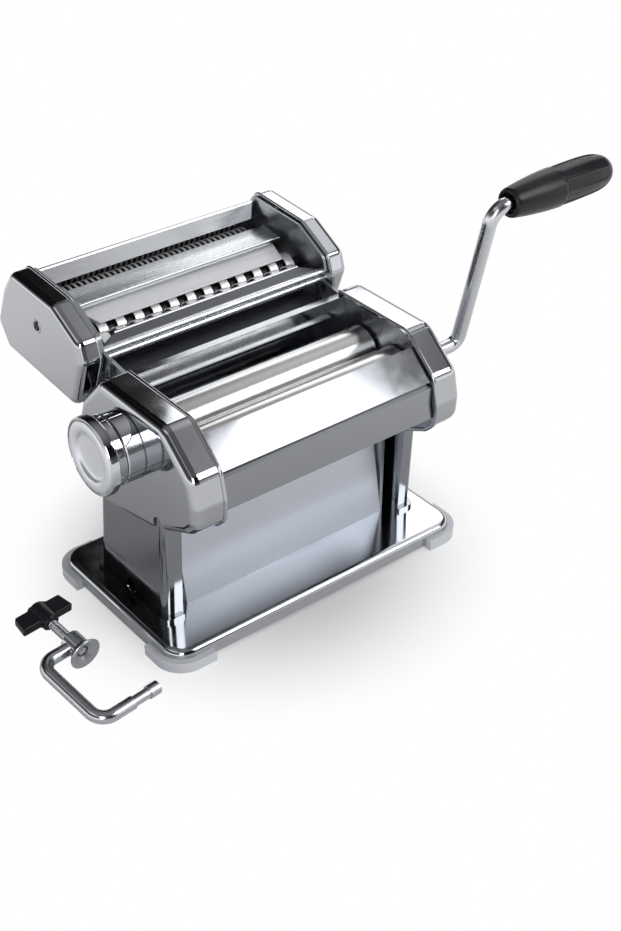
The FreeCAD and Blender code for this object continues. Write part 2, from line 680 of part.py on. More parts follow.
rod_shape = bent_rod([start, elbow, top, pin_end], S.crank_radius.value, bend)
tang_half = S.tang_side.value / 2
tang_from = (socket_face - S.tang_length).value
tang = Part.makeBox(start.x - tang_from + 0.5, 2 * tang_half, 2 * tang_half,
                    FreeCAD.Vector(tang_from, start.y - tang_half, start.z - tang_half))
crank = doc.addObject("Part::Feature", "crank")
crank.Shape = rod_shape.fuse(tang).removeSplitter()
node("crank_rod", crank)
grip_end = S.grip_start + S.grip_length + cap_face + S.crank_offset
grip_low = grip_end - S.grip_length
bore = S.crank_radius + S.fit
grip = turned([
    (grip_low, bore), (grip_low, 8), (grip_low + 4, 8.5), (grip_low + 6, 7.5),
    (grip_low + 30, S.grip_radius - 2.5), (grip_low + 55, S.grip_radius), (grip_end - 8, S.grip_radius),
    (grip_end - 2.5, S.grip_radius - 3), (grip_end, S.grip_radius - 7), (grip_end, 0), (grip_end - 7.5, 0),
    (grip_end - 7.5, bore),
], 0, 0)
lean_text = f"{S.crank_lean.text} * 1deg"
grip.setExpression("Placement.Base.y", f"{drive_y.text} - {S.crank_reach.text} * sin({lean_text})")
grip.setExpression("Placement.Base.z", f"{axis_z.text} + {S.crank_reach.text} * cos({lean_text})")
node("crank_grip", grip)

# Cutter head: caps, side plates with hooks for the pegs, and the folded sheets between them.
cutter_plate_in = plate_out + 1
cutter_plate_out = cutter_plate_in + 2
cutter_rim = cutter_plate_out + 0.5
cutter_face = cap_face + 0.5
cutter_z = peg_z + S.cutter_rise
pair_spread = S.cutter_radius - S.cutter_overlap / 2
wide_nip = peg_y + S.cutter_setback
fine_nip = wide_nip + 2 * pair_spread + 2 * S.cutter_radius + S.pair_gap
mid_y = (wide_nip + fine_nip) / 2


def near_wide(*offsets):
    """Points given from the nip of the wide cutting rollers, at the head's front."""
    return [(wide_nip + across, cutter_z + up) for across, up in offsets]


def near_fine(*offsets):
    """Points given from the nip of the fine cutting rollers, at the head's back."""
    return [(fine_nip + across, cutter_z + up) for across, up in offsets]


cutter_outline = [
    *near_fine((5.5, 32.5)), *near_wide((4, 30), (-21.5, 16.5), (-25.5, 4), (-13.5, -29)),
    *near_fine((17, -23.5), (27.5, -7), (16.5, 18)),
]
cutter_corner, cutter_round = as_size(7), as_size(5)
boss = as_size(6.2)
shaft_spots = {
    "wide_front": wide_nip - pair_spread, "wide_rear": wide_nip + pair_spread,
    "fine_front": fine_nip - pair_spread, "fine_rear": fine_nip + pair_spread,
}
driven_shafts = ("wide_rear", "fine_front")
cutter_rod_spots = [*near_wide((-9, -22)), (mid_y, cutter_z - 22), *near_fine((10, -17.5))]
cutter_screw = (mid_y, cutter_z + 9)
for name, side in LEFT_AND_RIGHT:
    outside = cap_block(cutter_outline, side, cutter_rim, cutter_face, cutter_corner, cutter_round)
    inside = cap_block(inset(cutter_outline, wall), side, cutter_rim - 1, cutter_face - wall,
                       cutter_corner - wall, cutter_round - wall)
    ways = [cylinder("x", span(side, cutter_face - 3, cutter_face + 1), *cutter_screw, 1.6)]
    if side > 0:
        ways += [cylinder("x", (cutter_face - 8, cutter_face + 1), shaft_spots[spot], cutter_z, boss + 0.5)
                 for spot in driven_shafts]
    node(f"{name}_cutter_cap", cut(outside, inside, *ways))
for name, side in LEFT_AND_RIGHT:
    x = span(side, cutter_plate_in, cutter_plate_out)
    plate = pad(inset(cutter_outline, cap_margin), *x)
    round_edges(plate, cutter_corner - cap_margin, along("x"))
    hook = pad([(peg_y - 4.5, peg_z + 2), (peg_y - 4.2, peg_z - 4), (peg_y + 14, peg_z - 4),
                (peg_y + 14, peg_z + 11), (peg_y - 4.5, peg_z + 8)], *x)
    slot = join(box((x[0] - 1, x[1] + 1), (peg_y - S.peg_radius - S.fit, peg_y + S.peg_radius + S.fit),
                    (peg_z - 12, peg_z)),
                cylinder("x", (x[0] - 1, x[1] + 1), peg_y, peg_z, S.peg_radius + S.fit))
    holes = [plate_hole(x, (y, cutter_z), S.cutter_shaft + S.fit) for y in shaft_spots.values()]
    holes += [plate_hole(x, spot, 2.5) for spot in cutter_rod_spots]
    node(f"{name}_cutter_plate", cut(join(plate, hook), slot, *holes))
cutter_ends = (-cutter_plate_in, cutter_plate_in)
rear_sheet = near_fine((14, -18), (22.5, -5), (12.5, 18), (5, 28.5), (3, 28.5), (-0.5, 18.5))
node("cutter_rear_sheet", bent_sheet(rear_sheet, cutter_ends, S.sheet_metal))

# The divider is a flat roof with a turned-down lip, and a second sheet below the lip that leads to the
# wide rollers.
roller_top = S.cutter_radius
pair_reach = pair_spread + S.cutter_radius
roof_z = roller_top + 7
roof = near_fine((-7.5, roof_z)) + near_wide((17.5, roof_z), (17.5, roof_z - 3))
apron = near_wide((22.5, roof_z - S.sheet_metal / 2), (21.5, roller_top + 3), (2.5, roller_top + 1))
node("cutter_divider", join(bent_sheet(roof, cutter_ends, S.sheet_metal),
                            bent_sheet(apron, cutter_ends, S.sheet_metal)))
front_face = -pair_reach - 2
front_sheet = near_wide((-12, roller_top + 1), (front_face, roller_top - 1.5), (front_face, 0), (-12.5, -26))
node("cutter_front_sheet", bent_sheet(front_sheet, cutter_ends, S.sheet_metal))
rail_y = (wide_nip + front_face - 3, wide_nip + front_face)
rail = pad(rectangle(rail_y, (cutter_z - 0.5, cutter_z + roller_top - 1.5)), *cutter_ends)
round_edges(rail, 1.4, along("x"))
node("cutter_front_rail", rail)
node("cutter_rods", group(*[
    cylinder("x", (-cutter_plate_out - 2, cutter_plate_out + 2), spot[0], spot[1], 2.5)
    for spot in cutter_rod_spots
]))
node("cutter_cap_screws", group(*[
    join(cylinder("x", span(side, cutter_face, cutter_face + 1.2), *cutter_screw, 3),
         cylinder("x", span(side, cutter_plate_out + 1, cutter_face), *cutter_screw, 1.6))
    for name, side in LEFT_AND_RIGHT
]))

# Cutting rollers: rings of one roller run in the grooves of the other.
GROOVE_COUNT = {"fine": 37, "wide": 11}
PITCH = {"fine": S.fine_pitch, "wide": S.wide_pitch}


def cutting_roller(kind, rear):
    pitch, count = PITCH[kind], GROOVE_COUNT[kind]
    shift = pitch / 4 if rear else -pitch / 4
    groove_half = pitch / 4 + S.free_gap / 2
    first = shift - pitch * ((count - 1) / 2)
    end_ring = pitch * ((count - 1) / 2) + pitch / 4 + pitch / 4 - S.free_gap / 2
    low, high = (-end_ring, half_length) if rear else (-half_length, end_ring)
    spot = f"{kind}_{'rear' if rear else 'front'}"
    right_end = cutter_plate_out + 8
    body = turned([(-cutter_plate_out - 3, 0), (-cutter_plate_out - 3, S.cutter_shaft), (low, S.cutter_shaft),
                   (low, S.cutter_radius), (high, S.cutter_radius), (high, S.cutter_shaft),
                   (right_end, S.cutter_shaft), (right_end, 0)], shaft_spots[spot], cutter_z)
    sketch = sketch_on(body, "XY_Plane", [
        (first - groove_half, S.cutter_groove), (first + groove_half, S.cutter_groove),
        (first + groove_half, S.cutter_radius + 1), (first - groove_half, S.cutter_radius + 1)])
    groove = body.newObject("PartDesign::Groove", "groove")
    groove.Profile = sketch
    groove.ReferenceAxis = (sketch, ["H_Axis"])
    groove.Angle = 360
    doc.recompute()
    rings = body.newObject("PartDesign::LinearPattern", "grooves")
    rings.Originals = [groove]
    rings.Direction = (sketch, ["H_Axis"])
    bind(rings, Length=pitch * (count - 1))
    rings.Occurrences = count
    body.Tip = rings
    if spot in driven_shafts:
        end_boss = cylinder("x", (cutter_plate_out + 6.3, cutter_face), shaft_spots[spot], cutter_z, boss)
        socket_hole = socket(cutter_face, shaft_spots[spot], cutter_z)
        return cut(join(body, end_boss), socket_hole)
    return body


CUTTER_TEETH = 10
cutter_gear_x = (cutter_plate_out + 1, cutter_plate_out + 6)
cutter_tip = pair_spread + 1.4
cutter_root = 2 * pair_spread - cutter_tip - 0.5
for kind in ("fine", "wide"):
    for rear in (False, True):
        spot = f"{kind}_{'rear' if rear else 'front'}"
        node(f"{spot}_roller", cutting_roller(kind, rear))
        turn = 180 + 180 / CUTTER_TEETH if rear else 0
        node(f"{spot}_gear", gear(cutter_gear_x, shaft_spots[spot], cutter_z, cutter_root, cutter_tip,
                                  as_size(2.4), as_size(1.0), CUTTER_TEETH, S.cutter_shaft, turn))

# Combs below the cutting rollers: teeth stand in the grooves and keep them clear.
combs = []
for kind in ("fine", "wide"):
    for rear in (False, True):
        pitch, count = PITCH[kind], GROOVE_COUNT[kind]
        away = 1 if rear else -1
        spot_y = shaft_spots[f"{kind}_{'rear' if rear else 'front'}"]
        bar_pair = span(away, 3.5, 5.5)
        tooth_pair = span(away, 3.5, 5)
        shift = pitch / 4 if rear else -pitch / 4
        tooth_half = pitch / 4 - S.free_gap / 2
        first = shift - pitch * ((count - 1) / 2)
        bar_y_pair = (spot_y + bar_pair[0], spot_y + bar_pair[1])
        tooth_y_pair = (spot_y + tooth_pair[0], spot_y + tooth_pair[1])
        body = pad(rectangle(bar_y_pair, (cutter_z - 13, cutter_z - 10.5)), *cutter_ends)
        pad(rectangle(tooth_y_pair, (cutter_z - 11, cutter_z - 6.2)), first - tooth_half, first + tooth_half,
            body=body)
        tooth = body.Tip
        doc.recompute()
        teeth = body.newObject("PartDesign::LinearPattern", "teeth")
        teeth.Originals = [tooth]
        teeth.Direction = (tooth.Profile[0], ["N_Axis"])
        bind(teeth, Length=pitch * (count - 1))
        teeth.Occurrences = count
        body.Tip = teeth
        combs.append(body)
node("cutter_combs", group(*combs))

# Table clamp, drawn flat in its own plane, then laid down on its lower arm and its pad's rim.
span_y, throat = S.clamp_span, S.clamp_throat
pad_back = span_y - 5.5
pad_front = pad_back - 4.2
pad_corner = math.hypot(S.clamp_pad_radius.value, pad_front.value)
clamp_tilt = math.degrees(math.acos(S.clamp_rod.value / pad_corner)
                          - math.atan2(pad_front.value, S.clamp_pad_radius.value))
clamp_turn = FreeCAD.Rotation(S.clamp_yaw.value, 0, clamp_tilt)


def lay_down(piece):
    piece.Placement.Rotation = clamp_turn
    place(piece, S.clamp_across, S.clamp_along, S.clamp_rod)
    return piece


def local_rod(ends, radius):
    """A bar along the clamp screw."""
    low, high = [as_size(end).value for end in ends]
    spot = FreeCAD.Vector(throat.value, low, 0)
    return Part.makeCylinder(as_size(radius).value, high - low, spot, FreeCAD.Vector(0, 1, 0))


def solid(label, shape):
    piece = doc.addObject("Part::Feature", "clamp_piece")
    piece.Shape = shape
    return node(label, lay_down(piece))


arm_end = S.clamp_arm.value
rod = S.clamp_rod.value
frame_path = [FreeCAD.Vector(throat.value - 3, span_y.value, 0), FreeCAD.Vector(0, span_y.value, 0),
              FreeCAD.Vector(), FreeCAD.Vector(arm_end - 18, 0, 0)]
frame_rod = bent_rod(frame_path, rod, S.clamp_corner.value)
thin = Part.makeCylinder(rod - 0.8, 12, FreeCAD.Vector(arm_end - 19, 0, 0), X_AXIS)
tip_collar = Part.makeCylinder(rod, 7, FreeCAD.Vector(arm_end - 7, 0, 0), X_AXIS)
eye = local_rod((span_y - 5, span_y + 5), 6.5)
eye_hole = local_rod((span_y - 6, span_y + 6), S.clamp_screw_radius + S.fit)
solid("clamp_frame", frame_rod.fuse([thin, tip_collar, eye]).cut(eye_hole).removeSplitter())

# Swivel pad on the screw's tip, the screw itself and its tee handle.
pad_cone = Part.makeCone(5, S.clamp_pad_radius.value, 3, FreeCAD.Vector(throat.value, pad_back.value, 0),
                         FreeCAD.Vector(0, -1, 0))
pad_rim = local_rod((pad_front, pad_back - 3), S.clamp_pad_radius)
pad_dish = Part.makeCone(3.5, S.clamp_pad_radius.value - 1.2, 2.7,
                         FreeCAD.Vector(throat.value, pad_back.value - 1.6, 0), FreeCAD.Vector(0, -1, 0))
pad_hole = local_rod((pad_back - 6, pad_back + 1), 2.2 + S.fit)
solid("clamp_pad", pad_cone.fuse(pad_rim).cut(pad_dish).cut(pad_hole).removeSplitter())
handle_y = span_y + 24.5
screw_shape = local_rod((pad_back + 0.3, handle_y + 9), S.clamp_screw_radius)
screw_tip = local_rod((pad_back - 1.4, pad_back + 1), 2.2)
solid("clamp_screw", screw_shape.fuse(screw_tip).removeSplitter())
bar = Part.makeBox(35, 12, 6, FreeCAD.Vector(throat.value - 17.5, handle_y.value, -3))
bar = bar.makeFillet(2.5, [edge for edge in bar.Edges if along("z")(edge)])
hub_block = local_rod((handle_y - 3, handle_y + 13), 5.6)
handle_hole = local_rod((handle_y - 5, handle_y + 9), S.clamp_screw_radius)
solid("clamp_handle", bar.fuse(hub_block).cut(handle_hole).removeSplitter())

doc.recompute()
for item in doc.Objects:
    if {"Invalid", "Error"} & set(item.State):
        raise RuntimeError(f"{item.Label} did not build: {item.State}")
for piece in nodes:
    if piece.Shape.isNull() or not piece.Shape.isValid() or not piece.Shape.Solids:
        raise RuntimeError(f"{piece.Label} has no valid solid")
    piece.Shape.exportStep(f"parts/{piece.Label}.step")
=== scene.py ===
import json
import math

import bmesh
import bpy
from mathutils import Matrix, Vector


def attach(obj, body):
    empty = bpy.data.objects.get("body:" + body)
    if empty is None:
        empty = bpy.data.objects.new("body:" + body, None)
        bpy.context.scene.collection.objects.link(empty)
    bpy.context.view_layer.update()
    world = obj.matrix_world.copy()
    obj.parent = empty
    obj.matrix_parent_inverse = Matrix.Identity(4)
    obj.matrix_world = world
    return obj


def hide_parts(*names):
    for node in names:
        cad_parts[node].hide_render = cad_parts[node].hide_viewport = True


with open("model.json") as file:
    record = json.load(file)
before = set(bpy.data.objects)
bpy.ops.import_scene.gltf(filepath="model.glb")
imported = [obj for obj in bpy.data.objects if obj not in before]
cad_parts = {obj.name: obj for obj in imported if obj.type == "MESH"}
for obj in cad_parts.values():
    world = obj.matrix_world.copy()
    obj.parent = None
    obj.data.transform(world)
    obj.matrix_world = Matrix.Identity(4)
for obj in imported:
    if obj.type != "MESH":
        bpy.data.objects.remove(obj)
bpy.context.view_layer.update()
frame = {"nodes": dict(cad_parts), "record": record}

scene = bpy.context.scene
scene.view_settings.view_transform = "Standard"

# Camera: a short telephoto from the dial side, above and to the left of the machine, rolled a little so
# that the uprights lean as they do in the photograph.
CAMERA_PLACE = (-0.46403, -0.61517, 0.59462)
LENS_PX, IMAGE_HEIGHT_PX, SENSOR_MM = 1530.24, 931, 36
swing, tip, roll = math.radians(39.28), math.radians(34.5), math.radians(0.72)
forward = Vector((math.sin(swing) * math.cos(tip), math.cos(swing) * math.cos(tip), -math.sin(tip)))
level = Vector((math.cos(swing), -math.sin(swing), 0))
above = level.cross(forward)
right = math.cos(roll) * level + math.sin(roll) * above
upward = math.cos(roll) * above - math.sin(roll) * level
lens = bpy.data.cameras.new("photo_camera")
lens.sensor_width = SENSOR_MM
lens.lens = LENS_PX * SENSOR_MM / IMAGE_HEIGHT_PX
camera = bpy.data.objects.new("photo_camera", lens)
camera.matrix_world = (Matrix.Translation(CAMERA_PLACE)
                       @ Matrix((right, upward, -forward)).transposed().to_4x4())
scene.collection.objects.link(camera)
scene.camera = camera


# Studio: a white table top, a room with light and dark parts, and three soft boxes. To the lens the room is
# plain white, and so is the table away from the machine. Metal still reflects the room's light and dark
# parts, which give chrome its contrast.
def linear(hex_colour):
    """An sRGB hex colour as the linear colour that the shaders take."""
    parts = [int(hex_colour[i:i + 2], 16) / 255 for i in (1, 3, 5)]
    return [c / 12.92 if c <= 0.04045 else ((c + 0.055) / 1.055) ** 2.4 for c in parts] + [1]


def add(tree, kind, settings=(), values=(), links=()):
    """Add a node: settings are its properties, values its sockets' numbers, links what feeds them."""
    node = tree.nodes.new(kind)
    for name, value in dict(settings).items():
        setattr(node, name, value)
    for socket, value in dict(values).items():
        node.inputs[socket].default_value = value
    for socket, source in dict(links).items():
        tree.links.new(source, node.inputs[socket])
    return node


TABLE_HALF = 9
table_corners = [(x * TABLE_HALF, y * TABLE_HALF, 0) for x, y in ((-1, -1), (1, -1), (1, 1), (-1, 1))]
table_mesh = bpy.data.meshes.new("table_top")
table_mesh.from_pydata(table_corners, [], [(0, 1, 2, 3)])
table_top = bpy.data.objects.new("table_top", table_mesh)
scene.collection.objects.link(table_top)

# Matt white paint: close to the machine it shows the shadow. Further off, over these distances in metres
# from the middle, it turns to pure white for the lens and for what metal and vinyl show.
WHITE_TO_LENS, WHITE_IN_METAL = (0.05, 0.165), (0.12, 0.48)
white_paint = bpy.data.materials.new("white_table_paint")
white_paint.use_nodes = True
tree = white_paint.node_tree
tree.nodes.clear()
place = add(tree, "ShaderNodeTexCoord")
reach = add(tree, "ShaderNodeVectorMath", {"operation": "LENGTH"}, links={0: place.outputs["Object"]})
path = add(tree, "ShaderNodeLightPath")
mirrored = add(tree, "ShaderNodeMath", {"operation": "MAXIMUM"},
               links={0: path.outputs["Is Glossy Ray"], 1: path.outputs["Is Transmission Ray"]})
shares = []
for ray, (near, far) in ((path.outputs["Is Camera Ray"], WHITE_TO_LENS),
                         (mirrored.outputs[0], WHITE_IN_METAL)):
    far_off = add(tree, "ShaderNodeMapRange", {"interpolation_type": "SMOOTHSTEP"},
                  {"From Min": near, "From Max": far}, {"Value": reach.outputs["Value"]})
    shares.append(add(tree, "ShaderNodeMath", {"operation": "MULTIPLY"},
                      links={0: ray, 1: far_off.outputs["Result"]}))
share = add(tree, "ShaderNodeMath", {"operation": "MAXIMUM"},
            links={0: shares[0].outputs[0], 1: shares[1].outputs[0]})
paint = add(tree, "ShaderNodeBsdfDiffuse", values={"Color": linear("#F4F4F5")})
white = add(tree, "ShaderNodeEmission", values={"Strength": 1})
mixed = add(tree, "ShaderNodeMixShader",
            links={0: share.outputs[0], 1: paint.outputs[0], 2: white.outputs[0]})
add(tree, "ShaderNodeOutputMaterial", links={"Surface": mixed.outputs[0]})
table_mesh.materials.append(white_paint)

# The room is bright up to a little over the horizon, dark above that and bright overhead, with a trace of
# blue. Its left and right are bright, and its front and back are dim.
ROOM_LEVELS = ((0, 1.2), (0.15, 1.1), (0.34, 0.1), (0.68, 0.06), (0.84, 1.1), (1, 2.3))
ROOM_BLUE = 1.015
DIM_TO_BRIGHT = {"From Min": 0.38, "From Max": 0.6, "To Min": 0.12, "To Max": 1.3}
room = bpy.data.worlds.new("studio_room")
room.use_nodes = True
scene.world = room
tree = room.node_tree
tree.nodes.clear()
direction = add(tree, "ShaderNodeTexCoord")
compass = add(tree, "ShaderNodeSeparateXYZ", links={0: direction.outputs["Generated"]})
wall = add(tree, "ShaderNodeValToRGB", links={"Fac": compass.outputs["Z"]})
for stop, (height, grey) in enumerate(ROOM_LEVELS):
    point = wall.color_ramp.elements[stop] if stop < 2 else wall.color_ramp.elements.new(height)
    point.position = height
    point.color = (grey, grey, grey * ROOM_BLUE, 1)
sideways = add(tree, "ShaderNodeMath", {"operation": "ABSOLUTE"}, links={0: compass.outputs["X"]})
side = add(tree, "ShaderNodeMapRange", {"interpolation_type": "SMOOTHSTEP"}, DIM_TO_BRIGHT,
           {"Value": sideways.outputs[0]})
glow = add(tree, "ShaderNodeBackground",
           links={"Color": wall.outputs["Color"], "Strength": side.outputs["Result"]})
backdrop = add(tree, "ShaderNodeBackground", values={"Color": (1, 1, 1, 1), "Strength": 1})
path = add(tree, "ShaderNodeLightPath")
seen_white = add(tree, "ShaderNodeMath", {"operation": "MAXIMUM"},
                 links={0: path.outputs["Is Camera Ray"], 1: path.outputs["Is Transmission Ray"]})
seen_room = add(tree, "ShaderNodeMixShader",
                links={0: seen_white.outputs[0], 1: glow.outputs[0], 2: backdrop.outputs[0]})
add(tree, "ShaderNodeOutputWorld", links={"Surface": seen_room.outputs[0]})

LAMP_AIM = Vector((0, 0, 0.1))
for name, spot, width, depth, watts in (
    ("front_soft_box", (0.96, -1.24, 1.27), 0.76, 0.96, 13),
    ("left_soft_box", (-1.05, -1.35, 1.0), 0.5, 1.0, 10),
    ("back_soft_box", (1.11, 0.93, 1.16), 1.0, 0.5, 4),
):
    lamp = bpy.data.lights.new(name, "AREA")
    lamp.shape = "RECTANGLE"
    lamp.size, lamp.size_y, lamp.energy = width, depth, watts
    soft_box = bpy.data.objects.new(name, lamp)
    turned = (LAMP_AIM - Vector(spot)).to_track_quat("-Z", "Y").to_matrix().to_4x4()
    soft_box.matrix_world = Matrix.Translation(spot) @ turned
    scene.collection.objects.link(soft_box)


# Base tray: one pressing of stainless sheet with rounded corners and a rounded top edge, open below and
# polished to a mirror. It stands on its four corner feet and carries the pillars.
def start_material(name, values):
    """A material with one Principled shader, its constant sockets set on the shader itself."""
    material = bpy.data.materials.new(name)
    material.use_nodes = True
    shader = material.node_tree.nodes["Principled BSDF"]
    for socket, value in values.items():
        shader.inputs[socket].default_value = value
    return material, material.node_tree, shader


def finish_nodes(material, *names):
    """Give CAD nodes whose shape is right their finished material."""
    for name in names:
        frame["nodes"][name].data.materials[0] = material


# Wiping leaves clouds a couple of centimetres across, which are clearer or duller than the rest by these
# shares. Polishing leaves lines many times as long as wide. Real ones are too fine to show, so they are
# drawn coarser wherever this file gives a line_mm.
CLOUD_MM, CLEARER, DULLER = 22, 0.7, 1.5
POLISH_LINE_STRETCH = 60


def polished_metal(name, colour, roughness, line_mm=0, lines_along="X"):
    """Mirror metal, clouded where it has been wiped, with polishing lines where they have a size."""
    material, tree, shader = start_material(name, {"Metallic": 1, "Base Color": linear(colour)})
    place = add(tree, "ShaderNodeTexCoord")
    cloud = add(tree, "ShaderNodeTexNoise",
                values={"Scale": 1000 / CLOUD_MM, "Detail": 4, "Roughness": 0.55},
                links={"Vector": place.outputs["Object"]})
    wiped = add(tree, "ShaderNodeMapRange",
                values={"From Min": 0.35, "From Max": 0.7,
                        "To Min": roughness * CLEARER, "To Max": roughness * DULLER},
                links={"Value": cloud.outputs["Fac"]})
    tree.links.new(wiped.outputs["Result"], shader.inputs["Roughness"])
    if line_mm:
        stretch = [1000 / line_mm] * 3
        stretch["XYZ".index(lines_along)] /= POLISH_LINE_STRETCH
        lay = add(tree, "ShaderNodeMapping", values={"Scale": stretch},
                  links={"Vector": place.outputs["Object"]})
        lines = add(tree, "ShaderNodeTexNoise", values={"Scale": 1, "Detail": 3},
                    links={"Vector": lay.outputs[0]})
        scratch = add(tree, "ShaderNodeBump", values={"Strength": 0.02, "Distance": 0.00005},
                      links={"Height": lines.outputs["Fac"]})
        tree.links.new(scratch.outputs["Normal"], shader.inputs["Normal"])
    return material


# Polished stainless: a clear mirror, a little grey, with its lines along the tray.
polished_tray = polished_metal("polished_stainless_tray", "#C0C2C6", 0.10, line_mm=0.8, lines_along="X")
finish_nodes(polished_tray, "base_tray")

# Corner feet: soft sleeves of clear vinyl, moulded to the tray's corners and pushed on from below. Light
# goes a little way into them, so they look pale and slightly blue. The faint unevenness of the moulded
# skin is drawn coarser than it is, so that it shows.
SKIN_MM = 1.1
clear_vinyl, tree, shader = start_material("clear_vinyl_moulded", {
    "Base Color": linear("#F1F2F9"), "Roughness": 0.3, "IOR": 1.5, "Transmission Weight": 0.3,
    "Subsurface Weight": 0.3, "Subsurface Scale": 0.004})
place = add(tree, "ShaderNodeTexCoord")
haze = add(tree, "ShaderNodeTexNoise", values={"Scale": 1000 / SKIN_MM, "Detail": 2},
           links={"Vector": place.outputs["Object"]})
skin = add(tree, "ShaderNodeBump", values={"Strength": 0.15, "Distance": 0.0001},
           links={"Height": haze.outputs["Fac"]})
tree.links.new(skin.outputs["Normal"], shader.inputs["Normal"])
finish_nodes(clear_vinyl, "corner_feet")

# Pillars: hollow columns pressed from stainless sheet, with a stepped foot on the tray. The left one holds
# a short tube for the clamp. They are the same mirror as the tray, with the lines upright, in a darker grey
# that is painted shade for the dark reflections on them.
shaded_stand_steel = polished_metal("polished_stainless_stand_painted_shade", "#94969A", 0.12, line_mm=0.8, lines_along="Z")
finish_nodes(shaded_stand_steel, "left_pillar", "right_pillar", "clamp_socket")


# Chute: a flat sheet of stainless steel between the pillars, below the rollers, sloping forward. It is
# brushed across to a pale satin, so it reflects only soft shapes.
SMOOTHER, ROUGHER, BRUSH_LINE_STRETCH = 0.8, 1.25, 80


def brushed_metal(name, colour, roughness, line_mm, lines_along, metallic=1):
    """Satin metal: brushing lines along one axis that change the roughness and the surface slightly."""
    material, tree, shader = start_material(name, {"Metallic": metallic, "Base Color": linear(colour)})
    place = add(tree, "ShaderNodeTexCoord")
    stretch = [1000 / line_mm] * 3
    stretch["XYZ".index(lines_along)] /= BRUSH_LINE_STRETCH
    lay = add(tree, "ShaderNodeMapping", values={"Scale": stretch}, links={"Vector": place.outputs["Object"]})
    lines = add(tree, "ShaderNodeTexNoise", values={"Scale": 1, "Detail": 4},
                links={"Vector": lay.outputs[0]})
    grain = add(tree, "ShaderNodeMapRange",
                values={"From Min": 0.3, "From Max": 0.7,
                        "To Min": roughness * SMOOTHER, "To Max": roughness * ROUGHER},
                links={"Value": lines.outputs["Fac"]})
    tree.links.new(grain.outputs["Result"], shader.inputs["Roughness"])
    groove = add(tree, "ShaderNodeBump", values={"Strength": 0.12, "Distance": 0.0001},
                 links={"Height": lines.outputs["Fac"]})
    tree.links.new(groove.outputs["Normal"], shader.inputs["Normal"])
    return material


satin_chute = brushed_metal("satin_stainless_chute", "#CBD0D9", 0.42, line_mm=0.5, lines_along="X")
finish_nodes(satin_chute, "chute")

# Side plates and bearing blocks: steel plates that carry the rollers, here and in the cutter head, and the
# blocks in the windows of the main ones, in which the rear roller turns and slides. All are zinc plated.
# The plating dries in soft patches, some paler and duller.
PATCH_MM = 7.1
COLOUR_A, COLOUR_B, COLOUR_OUT = 6, 7, 2  # the colour sockets of the Mix node
zinc_plated, tree, shader = start_material("zinc_plated_steel", {"Metallic": 1})
place = add(tree, "ShaderNodeTexCoord")
patch = add(tree, "ShaderNodeTexVoronoi", values={"Scale": 1000 / PATCH_MM},
            links={"Vector": place.outputs["Object"]})
tone = add(tree, "ShaderNodeMix", {"data_type": "RGBA"},
           {COLOUR_A: linear("#8E9196"), COLOUR_B: linear("#A9ACB0")}, {0: patch.outputs["Color"]})
tree.links.new(tone.outputs[COLOUR_OUT], shader.inputs["Base Color"])
dull = add(tree, "ShaderNodeMapRange", values={"To Min": 0.28, "To Max": 0.42},
           links={"Value": patch.outputs["Color"]})
tree.links.new(dull.outputs["Result"], shader.inputs["Roughness"])
finish_nodes(zinc_plated, "left_side_plate", "right_side_plate", "left_bearing_block", "right_bearing_block",
             "left_cutter_plate", "right_cutter_plate")

# Screws, rods, bars and pegs: drawn steel, turned to length. The screws come up through the tray into the
# side plates' feet, the rods tie the plates, the bars carry the scrapers, and the cutter head hangs on the
# pegs. Drawing leaves them bright, with faint lines along their length.
bright_bar = polished_metal("bright_drawn_steel", "#A6A8AC", 0.2, line_mm=0.4, lines_along="X")
finish_nodes(bright_bar, "stand_screws", "tie_rods", "scraper_bar", "carriage_bar", "cutter_pegs",
             "cutter_rods")

# Scraper blades: thin strips of rolled spring steel, each along its bar, that keep the smooth rollers
# clean. Rolling leaves a satin grey with lines along the strip.
spring_strip = brushed_metal("rolled_spring_steel", "#9DA0A5", 0.3, line_mm=0.4, lines_along="X")
finish_nodes(spring_strip, "front_scraper", "rear_scraper")

# Bushes: flanged sleeves of sintered bronze in the side plates, for the front roller's shaft. Oil in its
# pores makes the metal a dull speckled brown. The pores are drawn coarser than they are, so that they show.
PORE_MM = 0.4
sintered_bronze, tree, shader = start_material("sintered_bronze", {"Metallic": 1, "Roughness": 0.45})
place = add(tree, "ShaderNodeTexCoord")
pores = add(tree, "ShaderNodeTexNoise", values={"Scale": 1000 / PORE_MM, "Detail": 2},
            links={"Vector": place.outputs["Object"]})
tone = add(tree, "ShaderNodeMix", {"data_type": "RGBA"},
           {COLOUR_A: linear("#6B4A2B"), COLOUR_B: linear("#A87B4B")}, {0: pores.outputs["Fac"]})
tree.links.new(tone.outputs[COLOUR_OUT], shader.inputs["Base Color"])
finish_nodes(sintered_bronze, "drive_bushes")

# Smooth rollers: turned steel tubes on shafts, ground and nickel plated. Grinding leaves very fine rings
# around them, which blur reflections along the roller. The rings are drawn coarser than they are.
RING_MM, RING_RUN_MM = 0.45, 33
ground_roller, tree, shader = start_material("ground_nickel_plate",
                                             {"Metallic": 1, "Base Color": linear("#B9B9B8")})
place = add(tree, "ShaderNodeTexCoord")
lay = add(tree, "ShaderNodeMapping",
          values={"Scale": (1000 / RING_MM, 1000 / RING_RUN_MM, 1000 / RING_RUN_MM)},
          links={"Vector": place.outputs["Object"]})
rings = add(tree, "ShaderNodeTexNoise", values={"Scale": 1, "Detail": 3}, links={"Vector": lay.outputs[0]})
shine = add(tree, "ShaderNodeMapRange", values={"To Min": 0.14, "To Max": 0.3},
            links={"Value": rings.outputs["Fac"]})
tree.links.new(shine.outputs["Result"], shader.inputs["Roughness"])
turning = add(tree, "ShaderNodeBump", values={"Strength": 0.1, "Distance": 0.00005},
              links={"Height": rings.outputs["Fac"]})
